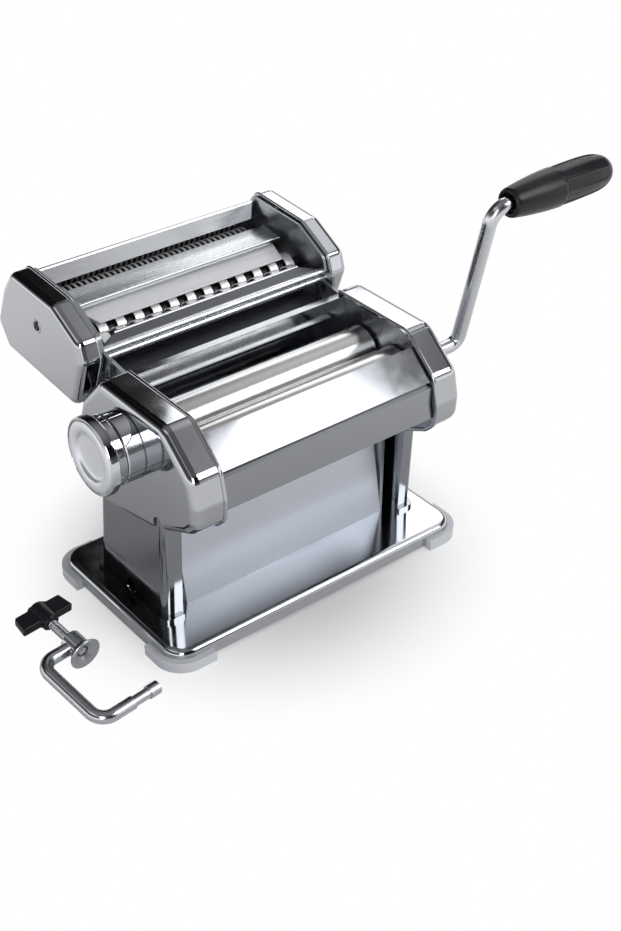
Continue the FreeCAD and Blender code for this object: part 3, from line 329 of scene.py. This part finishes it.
tree.links.new(turning.outputs["Normal"], shader.inputs["Normal"])
finish_nodes(ground_roller, "drive_roller", "rear_roller", "drive_shaft", "rear_shaft")

# Gears, dial hub and cam: milled steel, left as cut and lightly oiled. The gears sit on the rollers'
# shafts. Milling leaves a dull grey with fine marks.
milled_steel = brushed_metal("milled_gear_steel", "#85878B", 0.34, line_mm=0.3, lines_along="Y")
finish_nodes(milled_steel, "drive_gear", "rear_gear", "fine_front_gear", "fine_rear_gear", "wide_front_gear",
             "wide_rear_gear", "dial_hub", "dial_cam")

# End caps: deep pressings of steel with rounded edges, chrome plated to a bright mirror. The open edge is
# rolled over into a round bead, which stops short where the pillar goes in and where the cutter hangs.
bright_chrome = polished_metal("chrome_plated_caps", "#B2B4B8", 0.07, line_mm=1.0, lines_along="Z")
finish_nodes(bright_chrome, "left_end_cap", "right_end_cap", "left_cutter_cap", "right_cutter_cap")


def new_piece(name, mesh, material, body, slot, *replaced):
    """Put a finished mesh in the scene, riding on its body, in place of the CAD nodes that it stands for."""
    mesh.materials.clear()
    mesh.materials.append(material)
    mesh.name = name
    piece = bpy.data.objects.new(name, mesh)
    scene.collection.objects.link(piece)
    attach(piece, body)
    if replaced:
        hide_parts(*replaced)
    return piece


def open_tree(name, *sizes):
    """A Geometry Nodes tree with named lengths as its inputs, and its input node."""
    tree = bpy.data.node_groups.new(name, "GeometryNodeTree")
    tree.interface.new_socket("Geometry", in_out="INPUT", socket_type="NodeSocketGeometry")
    for size in sizes:
        tree.interface.new_socket(size, in_out="INPUT", socket_type="NodeSocketFloat")
    tree.interface.new_socket("Geometry", in_out="OUTPUT", socket_type="NodeSocketGeometry")
    return tree, add(tree, "NodeGroupInput")


def close_tree(tree, shape, material):
    """End a tree: smooth shading, instances made real, and the material set."""
    smooth = add(tree, "GeometryNodeSetShadeSmooth", links={0: shape})
    real = add(tree, "GeometryNodeRealizeInstances", links={0: smooth.outputs[0]})
    painted = add(tree, "GeometryNodeSetMaterial", values={"Material": material}, links={0: real.outputs[0]})
    add(tree, "NodeGroupOutput", links={0: painted.outputs[0]})


def wire(points_mm, edges, bends_mm=()):
    """A mesh of points and the edges between them, with the bend radius that is wanted at each point."""
    mesh = bpy.data.meshes.new("wire")
    mesh.from_pydata([Vector(point) / 1000 for point in points_mm], edges, [])
    bend = mesh.attributes.new("bend", "FLOAT", "POINT")
    for point, bend_mm in zip(bend.data, bends_mm):
        point.value = bend_mm / 1000
    return mesh


def grown(seed, tree, sizes_mm):
    """Run a tree on a mesh and give back the plain mesh that it makes."""
    host = bpy.data.objects.new("seed", seed)
    modifier = host.modifiers.new("grow", "NODES")
    modifier.node_group = tree
    for socket in tree.interface.items_tree:
        if socket.in_out == "INPUT" and socket.name in sizes_mm:
            modifier[socket.identifier] = sizes_mm[socket.name] / 1000
    scene.collection.objects.link(host)
    depsgraph = bpy.context.evaluated_depsgraph_get()
    mesh = bpy.data.meshes.new_from_object(host.evaluated_get(depsgraph), depsgraph=depsgraph)
    host.modifiers.remove(modifier)
    bpy.data.objects.remove(host)
    return mesh


def round_wire_tree(name, material, sides, bend_steps):
    """A round wire along a path of points, bent at each point to its own radius."""
    tree, sizes = open_tree(name, "Wire Radius")
    path = add(tree, "GeometryNodeMeshToCurve", links={0: sizes.outputs["Geometry"]})
    bend = add(tree, "GeometryNodeInputNamedAttribute", {"data_type": "FLOAT"}, {"Name": "bend"})
    bent = add(tree, "GeometryNodeFilletCurve", {"mode": "POLY"},
               {"Count": bend_steps, "Limit Radius": True},
               {"Curve": path.outputs[0], "Radius": bend.outputs[0]})
    section = add(tree, "GeometryNodeCurvePrimitiveCircle", values={"Resolution": sides},
                  links={"Radius": sizes.outputs["Wire Radius"]})
    swept = add(tree, "GeometryNodeCurveToMesh", values={"Fill Caps": True},
                links={"Curve": bent.outputs[0], "Profile Curve": section.outputs[0]})
    close_tree(tree, swept.outputs[0], material)
    return tree


def chain(points, closed=False):
    """The edges that join a run of points in turn."""
    last = len(points) if closed else len(points) - 1
    return [(i, (i + 1) % len(points)) for i in range(last)]


rolled_rim = round_wire_tree("rolled_rim", bright_chrome, sides=12, bend_steps=8)
CAP_RIM_X, CAP_RIM_RADIUS, CAP_RIM_BEND = 77.2, 1.2, 10
rim_front = [(20.25, 151), (-41.25, 151), (-66.75, 130.2), (-70.75, 113.2), (-70.05, 100.2), (-62.25, 92.2),
             (-29.75, 76.7), (-24.8, 75.7)]
rim_back = [(24.8, 65.6), (29.25, 64.7), (49.75, 108.2), (42.75, 129.2), (38.25, 134)]
pillar_gap = (len(rim_front) - 1, len(rim_front))
for side, x in (("left", -CAP_RIM_X), ("right", CAP_RIM_X)):
    points = [(x, y, z) for y, z in rim_front + rim_back]
    edges = [edge for edge in chain(points) if edge != pillar_gap]
    line = wire(points, edges, [CAP_RIM_BEND] * len(points))
    bead = grown(line, rolled_rim, {"Wire Radius": CAP_RIM_RADIUS})
    new_piece(f"{side}_cap_rim", bead, bright_chrome, "machine", "chrome_caps")

# Panels over the rollers: steel sheet folded into flat facets, chrome plated and held between the caps.
# They are a mirror like the caps, a little softer, and painted darker: painted shade for the dark
# reflections on them.
shaded_chrome_sheet = polished_metal("chrome_plated_panels_painted_shade", "#94969A", 0.10, line_mm=0.8, lines_along="X")
finish_nodes(shaded_chrome_sheet, "front_panel", "rear_panel")

# Cutter head: sheets of chromed steel, folded into two hoppers above two pairs of cutting rollers. Their
# free edges are hemmed, and a polished double bead stiffens the front. Satin chrome gives soft reflections.
# The apron is painted nearly white and is only part metallic: painted light for the light that falls on it.
# The skirt below the front edge is painted darker: painted shade for the shadow under the rail.
satin_sheet = brushed_metal("satin_chrome_sheet", "#DADCDF", 0.22, line_mm=0.5, lines_along="X")
painted_light_sheet = brushed_metal("satin_chrome_apron_painted_light", "#EEEFF1", 0.5, line_mm=0.5, lines_along="X", metallic=0.3)
painted_shade_sheet = brushed_metal("satin_chrome_skirt_painted_shade", "#74767A", 0.3, line_mm=0.5, lines_along="X")
SHEET_THICKNESS, FOLD_RADIUS = 1, 0.4


def folded_sheet(corners):
    """A folded sheet along X through (y, z, half length) corners; its ends are cut slanting."""
    verts = [Vector((side * half, y, z)) / 1000 for y, z, half in corners for side in (-1, 1)]
    faces = [(i, i + 1, i + 3, i + 2) for i in range(0, len(verts) - 2, 2)]
    mesh = bpy.data.meshes.new("sheet")
    mesh.from_pydata(verts, [], faces)
    return mesh


def thicken(piece):
    """Give a sheet its thickness, to the left of its run of corners, and soft folds."""
    solid = piece.modifiers.new("sheet_metal", "SOLIDIFY")
    solid.thickness = SHEET_THICKNESS / 1000
    solid.offset = 1
    solid.use_even_offset = True
    fold = piece.modifiers.new("soft_folds", "BEVEL")
    fold.width = FOLD_RADIUS / 1000
    fold.segments = 3
    fold.limit_method = "ANGLE"
    fold.angle_limit = math.radians(15)


rear_line = [(121.5, 131, 80.3), (130, 144, 80.3), (120, 167, 80.3), (112.5, 177.5, 79.6),
             (110.5, 177.5, 78.6), (107, 167.5, 75)]
roof_line = [(100, 165, 79.4), (79.5, 165, 76.4), (79.5, 162, 76)]
apron_line = [(84.5, 164.6, 76), (83.5, 161, 73.5), (64.5, 159, 67)]
front_line = [(50, 159, 67), (43, 156.5, 79.5), (43, 149, 80.3), (49.5, 123, 80.3)]
for name, line, material, *replaced in (
    ("rear_hopper_sheet", rear_line, satin_sheet, "cutter_rear_sheet"),
    ("divider_roof", roof_line, satin_sheet, "cutter_divider"),
    ("divider_apron", apron_line, painted_light_sheet),
    ("front_skirt", front_line, painted_shade_sheet, "cutter_front_sheet"),
):
    thicken(new_piece(name, folded_sheet(line), material, "cutter_head", "chrome_panels", *replaced))


def straight_wires(spots):
    """Straight wires along X, one at each (y, z, half length)."""
    points = [(x, y, z) for y, z, half in spots for x in (-half, half)]
    return wire(points, [(i, i + 1) for i in range(0, len(points), 2)])


HEM_RADIUS, RAIL_RADIUS, RAIL_HALF = 1, 2.1, 80.3
hems = grown(straight_wires([(111.6, 177.2, 79), (80.0, 164.6, 76.3), (50, 158.8, 67)]), rolled_rim,
             {"Wire Radius": HEM_RADIUS})
new_piece("cutter_sheet_hems", hems, bright_chrome, "cutter_head", "chrome_panels")
rail = grown(straight_wires([(41.6, 154.8, RAIL_HALF), (41.6, 150.3, RAIL_HALF)]), rolled_rim,
             {"Wire Radius": RAIL_RADIUS})
rail_chrome = polished_metal("satin_polished_rail", "#E2E4E7", 0.24)
new_piece("cutter_double_rail", rail, rail_chrome, "cutter_head", "chrome_panels", "cutter_front_rail")

# Cutter caps: smaller chromed pressings over the ends of the cutter head, each held by one screw. They
# have the same rolled rim as the end caps, closed all round.
CUTTER_RIM_X, CUTTER_RIM_RADIUS, CUTTER_RIM_BEND = 84.2, 1, 7
cutter_rim = [(113, 181.5), (66, 179), (40.5, 165.5), (36.5, 153), (48.5, 120), (124.5, 125.5), (135, 142),
              (124, 167)]
for side, x in (("left", -CUTTER_RIM_X), ("right", CUTTER_RIM_X)):
    points = [(x, y, z) for y, z in cutter_rim]
    loop = wire(points, chain(points, closed=True), [CUTTER_RIM_BEND] * len(points))
    bead = grown(loop, rolled_rim, {"Wire Radius": CUTTER_RIM_RADIUS})
    new_piece(f"{side}_cutter_rim", bead, bright_chrome, "cutter_head", "chrome_caps")


# Cap screws: steel pan heads with a round socket, each in a bright ring pressed into the cap. Black oxide
# makes the heads dark but leaves them a metal's shine.
def join_rings(shape, rings):
    """Faces from each ring of points to the next; a ring may be a single point."""
    for near, far in zip(rings, rings[1:]):
        for i in range(max(len(near), len(far))):
            corners = [near[i % len(near)], far[i % len(far)],
                       far[(i + 1) % len(far)], near[(i + 1) % len(near)]]
            shape.faces.new(list(dict.fromkeys(corners)))


def finished(shape, name):
    """The plain mesh of a shape that is done."""
    mesh = bpy.data.meshes.new(name)
    shape.to_mesh(mesh)
    shape.free()
    return mesh


def spun(profile_mm, start_mm, along, steps=96):
    """A turned mesh: (distance, radius) pairs in millimetres along an axis that begins at start."""
    along = Vector(along).normalized()
    across = along.orthogonal().normalized()
    upward = along.cross(across)
    shape = bmesh.new()
    rings = []
    for distance, radius in profile_mm:
        centre = Vector(start_mm) + along * distance
        angles = [2 * math.pi * i / steps for i in range(steps)] if radius else [0]
        spokes = [math.cos(angle) * across + math.sin(angle) * upward for angle in angles]
        rings.append([shape.verts.new((centre + radius * spoke) / 1000) for spoke in spokes])
    join_rings(shape, rings)
    bmesh.ops.remove_doubles(shape, verts=shape.verts, dist=1e-6)
    bmesh.ops.recalc_face_normals(shape, faces=shape.faces)
    mesh = finished(shape, "turned")
    mesh.shade_smooth()
    mesh.set_sharp_from_angle(angle=math.radians(35))
    return mesh


def soften(piece, width_mm):
    """Round a piece's sharp edges."""
    bevel = piece.modifiers.new("soft_edges", "BEVEL")
    bevel.width = width_mm / 1000
    bevel.segments = 3
    bevel.limit_method = "ANGLE"
    bevel.angle_limit = math.radians(35)


black_oxide = polished_metal("black_oxide_screws", "#3C3D40", 0.25)
SCREW_PLACE = (97.5, 84.75, 158)
washer_profile = [(-0.3, 2.5), (-0.3, 4.3), (0.1, 4.4), (0.45, 3.9), (0.3, 3.1), (0.1, 2.7), (-0.3, 2.5)]
head_profile = [(-2, 0), (-2, 1.5), (-0.2, 1.5), (-0.2, 2.8), (0.4, 2.8), (0.8, 2.4), (1.1, 1.5), (1.15, 0.8),
                (0.4, 0.7), (0.4, 0)]


def on_both_caps(name, profile, material):
    """A turned shape on the right cutter cap and its mirror image on the left one, as one mesh."""
    tree, seed = open_tree(name)
    mirrored = add(tree, "GeometryNodeTransform", values={"Scale": (-1, 1, 1)}, links={0: seed.outputs[0]})
    outward = add(tree, "GeometryNodeFlipFaces", links={0: mirrored.outputs[0]})
    pair = add(tree, "GeometryNodeJoinGeometry", links={0: seed.outputs[0]})
    tree.links.new(outward.outputs[0], pair.inputs[0])
    close_tree(tree, pair.outputs[0], material)
    return grown(spun(profile, SCREW_PLACE, (1, 0, 0), steps=48), tree, {})


new_piece("cap_screw_rings", on_both_caps("screw_rings", washer_profile, bright_chrome), bright_chrome,
          "cutter_head", "steel_screws")
new_piece("cap_screws", on_both_caps("screw_heads", head_profile, black_oxide), black_oxide,
          "cutter_head", "steel_screws", "cutter_cap_screws")

# Cutting rollers: turned steel with square grooves, in pairs, so that the rings of one run in the grooves
# of the other. The rings are bright with a fine knurl, drawn coarser than it is. The grooves are painted
# dark, partly for oil and partly as painted shade down between the rings.
GROOVE_EDGE, RING_EDGE, KNURL_MM = 8.2, 8.8, 0.9


def turned_cutter(name, axis_y, axis_z, metallic):
    """Bright rings, grooves dark with oil and painted shade; the colour goes by the distance from the axis.
    """
    material, tree, shader = start_material(name, {"Metallic": metallic, "Roughness": 0.4})
    place = add(tree, "ShaderNodeTexCoord")
    across = add(tree, "ShaderNodeVectorMath", {"operation": "MULTIPLY_ADD"},
                 {1: (0, 1, 1), 2: (0, -axis_y / 1000, -axis_z / 1000)}, {0: place.outputs["Object"]})
    reach = add(tree, "ShaderNodeVectorMath", {"operation": "LENGTH"}, links={0: across.outputs[0]})
    ring = add(tree, "ShaderNodeMapRange",
               values={"From Min": GROOVE_EDGE / 1000, "From Max": RING_EDGE / 1000},
               links={"Value": reach.outputs["Value"]})
    tone = add(tree, "ShaderNodeMix", {"data_type": "RGBA"},
               {COLOUR_A: linear("#2A2B2E"), COLOUR_B: linear("#F2F3F4")}, {0: ring.outputs["Result"]})
    tree.links.new(tone.outputs[COLOUR_OUT], shader.inputs["Base Color"])
    knurl = add(tree, "ShaderNodeTexNoise", values={"Scale": 1000 / KNURL_MM, "Detail": 2},
                links={"Vector": place.outputs["Object"]})
    bumps = add(tree, "ShaderNodeBump", values={"Strength": 0.25, "Distance": 0.0002},
                links={"Height": knurl.outputs["Fac"]})
    tree.links.new(bumps.outputs["Normal"], shader.inputs["Normal"])
    return material


# The fine rings stand so close that bare metal there looks nearly black. They are only slightly metallic,
# which keeps them paler.
CUTTER_Z, WIDE_METALLIC, FINE_METALLIC = 149, 0.75, 0.1
for roller, axis_y, metallic in (("wide_front", 54, WIDE_METALLIC), ("wide_rear", 70, WIDE_METALLIC),
                                 ("fine_front", 99.5, FINE_METALLIC), ("fine_rear", 115.5, FINE_METALLIC)):
    finish_nodes(turned_cutter(f"turned_{roller}_steel", axis_y, CUTTER_Z, metallic), f"{roller}_roller")

# Combs: steel strips below the cutting rollers, stamped with teeth that stand in the grooves and keep them
# clear. Stamping leaves a satin grey.
comb_strip = brushed_metal("stamped_comb_steel", "#9C9EA2", 0.32, line_mm=0.3, lines_along="Z")
finish_nodes(comb_strip, "cutter_combs")

# Thickness dial: a chromed barrel on the cap, and a chromed ring on a barrel of the same size that pulls
# out to turn. The ring holds a pale moulded disc with a round rim and a dished middle.
dial_chrome = polished_metal("chrome_plated_dial", "#C4C6CA", 0.06)
DIAL_Y, DIAL_Z = -4, 123.2
CAP_FACE, KNOB_FACE, KNOB_EDGE = -97, -121, 0.4
collar_profile = [(0, 8.06), (0, 20.4), (0.6, 21), (10.4, 21), (11, 20.4), (11, 8.06), (0, 8.06)]
collar = spun(collar_profile, (CAP_FACE, DIAL_Y, DIAL_Z), (-1, 0, 0))
new_piece("dial_barrel", collar, dial_chrome, "machine", "chrome_dial", "dial_collar")
knob_profile = [(12.5, 6), (12.5, 20.5), (12, 21), (7.4, 21), (7, 21.4), (7, 22.6), (6.2, 23.5), (1.7, 23.5),
                (0.8, 22.9), (0.7, 22.25), (2, 22.2), (2, 14.43), (9.5, 14.43), (9.5, 6), (12.5, 6)]
knob = new_piece("dial_ring", spun(knob_profile, (KNOB_FACE, DIAL_Y, DIAL_Z), (1, 0, 0)), dial_chrome,
                 "dial_knob_unit", "chrome_dial", "dial_knob")
soften(knob, KNOB_EDGE)

# Silver lacquer on plastic: a pale metallic grey that blurs what it reflects. Its flakes are drawn coarser
# than they are, so that they show.
FLAKE_MM = 0.33
pale_disc, tree, shader = start_material("silver_lacquered_disc", {
    "Base Color": linear("#DFE1E5"), "Metallic": 0.7, "Roughness": 0.3})
place = add(tree, "ShaderNodeTexCoord")
flakes = add(tree, "ShaderNodeTexNoise", values={"Scale": 1000 / FLAKE_MM, "Detail": 2},
             links={"Vector": place.outputs["Object"]})
skin = add(tree, "ShaderNodeBump", values={"Strength": 0.1, "Distance": 0.00004},
           links={"Height": flakes.outputs["Fac"]})
tree.links.new(skin.outputs["Normal"], shader.inputs["Normal"])
disc_profile = [(2.9, 0), (2.88, 9), (2.75, 12), (2.5, 13.1), (2.1, 13.8), (1.5, 14.3), (0.9, 14.8),
                (0.45, 15.4), (0.15, 16.2), (0, 17.3), (0, 18.4), (0.1, 19.5), (0.4, 20.6), (0.9, 21.3),
                (2, 21.7), (2, 14.4), (3.3, 13.2), (3.5, 9), (3.6, 0)]
new_piece("dial_disc", spun(disc_profile, (KNOB_FACE, DIAL_Y, DIAL_Z), (1, 0, 0)), pale_disc,
          "dial_knob_unit", "pale_dial_disc", "dial_face")

# Crank: a steel rod bent twice and chrome plated, with a square tang on the end that drives the rollers.
# The bend at the grip is wider than the one at the cap. Chrome on the drawn rod is bright but a little soft.
chrome_rod = polished_metal("chrome_plated_rod", "#C8CACE", 0.18)
ROD_RADIUS, CAP_BEND, GRIP_BEND = 4.5, 7, 11
TANG_SIDE, TANG_OVERLAP = 6.2, 0.5
TANG_FROM, ROD_FROM, ELBOW_X, ROD_END = 83.5, 98.9, 125.5, 213
SHAFT_Y, SHAFT_Z, GRIP_Y, GRIP_Z = -35.5, 123.2, -56.974, 220.867
rod_corners = [(ROD_FROM, SHAFT_Y, SHAFT_Z), (ELBOW_X, SHAFT_Y, SHAFT_Z), (ELBOW_X, GRIP_Y, GRIP_Z),
               (ROD_END, GRIP_Y, GRIP_Z)]
rod_path = wire(rod_corners, chain(rod_corners), (0, CAP_BEND, GRIP_BEND, 0))
rod_tree = round_wire_tree("bent_rod", chrome_rod, sides=48, bend_steps=24)
rod = bmesh.new()
rod.from_mesh(grown(rod_path, rod_tree, {"Wire Radius": ROD_RADIUS}))
tang_to = ROD_FROM + TANG_OVERLAP
tang_middle = Vector(((TANG_FROM + tang_to) / 2, SHAFT_Y, SHAFT_Z)) / 1000
tang_size = Vector((tang_to - TANG_FROM, TANG_SIDE, TANG_SIDE)) / 1000
bmesh.ops.create_cube(rod, size=1,
                      matrix=Matrix.Translation(tang_middle) @ Matrix.Diagonal(tang_size).to_4x4())
rod_mesh = finished(rod, "bent_rod")
rod_mesh.set_sharp_from_angle(angle=math.radians(40))
new_piece("bent_rod", rod_mesh, chrome_rod, "crank", "chrome_rod", "crank_rod")

# Grip: one hollow moulding of black plastic that turns on the rod. A lip and a smooth neck face the rod,
# and shallow flutes with narrow ridges run to the round end. Moulded ABS is a soft black with a fine grain,
# drawn coarser than it is, and hands have polished some places more than others.
GRAIN_MM, WORN_MM = 0.45, 17
black_abs, tree, shader = start_material("black_abs_moulded", {
    "Base Color": linear("#0D1016"), "Specular IOR Level": 0.36})
place = add(tree, "ShaderNodeTexCoord")
grain = add(tree, "ShaderNodeTexNoise", values={"Scale": 1000 / GRAIN_MM, "Detail": 3},
            links={"Vector": place.outputs["Object"]})
worn = add(tree, "ShaderNodeTexNoise", values={"Scale": 1000 / WORN_MM, "Detail": 3},
           links={"Vector": place.outputs["Object"]})
sheen = add(tree, "ShaderNodeMapRange", values={"To Min": 0.28, "To Max": 0.38},
            links={"Value": worn.outputs["Fac"]})
tree.links.new(sheen.outputs["Result"], shader.inputs["Roughness"])
skin = add(tree, "ShaderNodeBump", values={"Strength": 0.18, "Distance": 0.00006},
           links={"Height": grain.outputs["Fac"]})
tree.links.new(skin.outputs["Normal"], shader.inputs["Normal"])

GRIP_START = Vector((137, GRIP_Y, GRIP_Z))
GRIP_BORE, GRIP_DEPTH = 4.56, 76.5
FLUTES, FLUTE_STEPS, FLUTE_DEPTH = 10, 16, 0.8
FLUTES_BEGIN, FLUTES_FADE = (36.5, 38.5), (71, 79)
RIDGE_CREST, RIDGE_FOOT = 0.04, 0.22  # as shares of the way from a ridge to the middle of a flute
grip_bore = [(GRIP_DEPTH, 0), (GRIP_DEPTH, GRIP_BORE), (3.6, GRIP_BORE), (3.4, 6.3), (0.4, 6.5)]
grip_outline = [(0, 7.6), (0.15, 8.1), (0.6, 8.6), (1.5, 8.95), (3, 9.2), (6, 9.65), (10, 10.2),
                (15, 10.75), (20, 11.25), (26, 11.75), (32, 12.05), (38, 12.25), (46, 12.4), (54, 12.4),
                (60, 12.3), (66, 12), (70, 11.55), (74, 10.8), (77, 9.9), (79.5, 8.7), (81.5, 7.1), (83, 5),
                (83.8, 2.6), (84, 0)]
rings_at_flute_start = {36 + 0.5 * i for i in range(8)}
rings_along_flutes = {42 + 2 * i for i in range(20)}


def smooth_step(value, low, high):
    """A share that rises softly from 0 at low to 1 at high."""
    share = min(max((value - low) / (high - low), 0), 1)
    return share * share * (3 - 2 * share)


def grip_radius(distance):
    """The grip's radius at a distance from its lip, read from its outline."""
    for (near, r_near), (far, r_far) in zip(grip_outline, grip_outline[1:]):
        if distance <= far:
            return r_near + (r_far - r_near) * (distance - near) / (far - near)
    return 0


def grip_ring(shape, distance, radius, flute_depth):
    """One ring of points round the grip, or a single point where the radius is nothing."""
    centre = GRIP_START + Vector((distance, 0, 0))
    around = FLUTES * FLUTE_STEPS
    ring = []
    for i in range(around if radius else 1):
        from_ridge = abs(i / FLUTE_STEPS - round(i / FLUTE_STEPS)) * 2
        sunk = flute_depth * smooth_step(from_ridge, RIDGE_CREST, RIDGE_FOOT)
        angle = 2 * math.pi * i / around
        spoke = Vector((0, math.cos(angle), math.sin(angle)))
        ring.append(shape.verts.new((centre + (radius - sunk) * spoke) / 1000))
    return ring


moulding = bmesh.new()
grip_rings = [grip_ring(moulding, distance, radius, 0) for distance, radius in grip_bore]
for distance in sorted({spot for spot, radius in grip_outline} | rings_at_flute_start | rings_along_flutes):
    flute = FLUTE_DEPTH * smooth_step(distance, *FLUTES_BEGIN) * (1 - smooth_step(distance, *FLUTES_FADE))
    grip_rings.append(grip_ring(moulding, distance, grip_radius(distance), flute))
join_rings(moulding, grip_rings)
bmesh.ops.recalc_face_normals(moulding, faces=moulding.faces)
grip_mesh = finished(moulding, "grip")
grip_mesh.shade_smooth()
grip_mesh.set_sharp_from_angle(angle=math.radians(60))
new_piece("fluted_grip", grip_mesh, black_abs, "grip", "black_grip", "crank_grip")

# Table clamp: a steel rod bent to a C, with an eye for the screw, and chrome plated as the crank is. It is
# off the machine and lies beside it.
finish_nodes(chrome_rod, "clamp_frame")

# Clamp screw: a chromed steel bolt with a rolled thread, turned in the clamp's eye. Its end is peened over
# inside the swivel pad. The thread is a ridge wound along the bolt.
screw_joint = next(joint for joint in frame["record"]["behaviour"]["joints"] if joint["name"] == "screw_turn")
screw_out = -Vector(screw_joint["axis"])
screw_eye = Vector(screw_joint["pos_m"]) * 1000
screw_side = Vector((screw_out.y, -screw_out.x, 0)).normalized()
screw_up = screw_side.cross(screw_out)
thread_tree, sizes = open_tree("rolled_thread", "Pitch", "Length", "Thread Radius", "Crest Radius")
turns = add(thread_tree, "ShaderNodeMath", {"operation": "DIVIDE"},
            links={0: sizes.outputs["Length"], 1: sizes.outputs["Pitch"]})
helix = add(thread_tree, "GeometryNodeCurveSpiral", values={"Resolution": 28},
            links={"Rotations": turns.outputs[0], "Start Radius": sizes.outputs["Thread Radius"],
                   "End Radius": sizes.outputs["Thread Radius"], "Height": sizes.outputs["Length"]})
crest = add(thread_tree, "GeometryNodeCurvePrimitiveCircle", values={"Resolution": 6},
            links={"Radius": sizes.outputs["Crest Radius"]})
ridge = add(thread_tree, "GeometryNodeCurveToMesh", values={"Fill Caps": True},
            links={"Curve": helix.outputs[0], "Profile Curve": crest.outputs[0]})
close_tree(thread_tree, ridge.outputs[0], chrome_rod)
THREAD_START = -4.6
thread_sizes = {"Pitch": 1.5, "Length": 26, "Thread Radius": 2.7, "Crest Radius": 0.52}
thread = grown(wire([(0, 0, 0)], []), thread_tree, thread_sizes)
thread.transform(Matrix.Translation((screw_eye + screw_out * THREAD_START) / 1000)
                 @ screw_out.to_track_quat("Z", "Y").to_matrix().to_4x4())
bolt_profile = [(-7.2, 0), (-7.1, 1.6), (-6.6, 2.5), (-6.2, 2.2), (-5.2, 2.2), (-5.0, 2.8), (33, 2.8),
                (33, 0)]
bolt = bmesh.new()
bolt.from_mesh(thread)
bolt.from_mesh(spun(bolt_profile, screw_eye, screw_out, steps=48))
new_piece("clamp_bolt", finished(bolt, "clamp_bolt"), chrome_rod, "clamp_screw_unit", "chrome_rod",
          "clamp_screw")

# Swivel pad: a dished pressing of zinc-plated steel that turns on the peened end of the screw. Tumbling
# leaves it a satin grey.
tumbled_pad = brushed_metal("tumbled_zinc_pad", "#B4B6B9", 0.36, line_mm=0.6, lines_along="Z")
pad_profile = [(-5.5, 3.7), (-5.5, 5.2), (-7, 8.6), (-8.5, 10), (-9.2, 10.2), (-9.65, 9.9), (-9.7, 9.2),
               (-9.35, 8), (-8.7, 6.4), (-7.7, 4.6), (-7, 3.7), (-5.5, 3.7)]
new_piece("swivel_pad", spun(pad_profile, screw_eye, screw_out, steps=64), tumbled_pad, "clamp_pad_unit",
          "chrome_rod", "clamp_pad")

# Tee handle: a flat bar of black ABS with slanted ends and a round hub, moulded onto the end of the bolt.
# It has the same soft black skin as the grip.
handle_outline = [(-17.5, 24.7), (-5.6, 24.7), (-4.6, 21.6), (4.6, 21.6), (5.6, 24.7), (17.5, 24.7),
                  (15.8, 36.3), (6.8, 36.3), (4.6, 38.2), (-4.6, 38.2), (-6.8, 36.3), (-15.8, 36.3)]
HANDLE_HALF, HANDLE_EDGE = 3, 1.1
bar = bmesh.new()
flats = []
for lift in (-HANDLE_HALF, HANDLE_HALF):
    corners = [screw_eye + screw_side * across + screw_out * out + screw_up * lift
               for across, out in handle_outline]
    flats.append([bar.verts.new(corner / 1000) for corner in corners])
    bar.faces.new(flats[-1])
join_rings(bar, flats)
bmesh.ops.recalc_face_normals(bar, faces=bar.faces)
tee = new_piece("tee_handle", finished(bar, "tee_handle"), black_abs, "clamp_screw_unit", "black_grip",
                "clamp_handle")
soften(tee, HANDLE_EDGE)
hub_profile = [(21.5, 0), (21.5, 4.6), (22.4, 5.5), (36.4, 5.6), (37.5, 4.4), (37.9, 0)]
hub = spun(hub_profile, screw_eye, screw_out, steps=48)
new_piece("tee_handle_hub", hub, black_abs, "clamp_screw_unit", "black_grip")
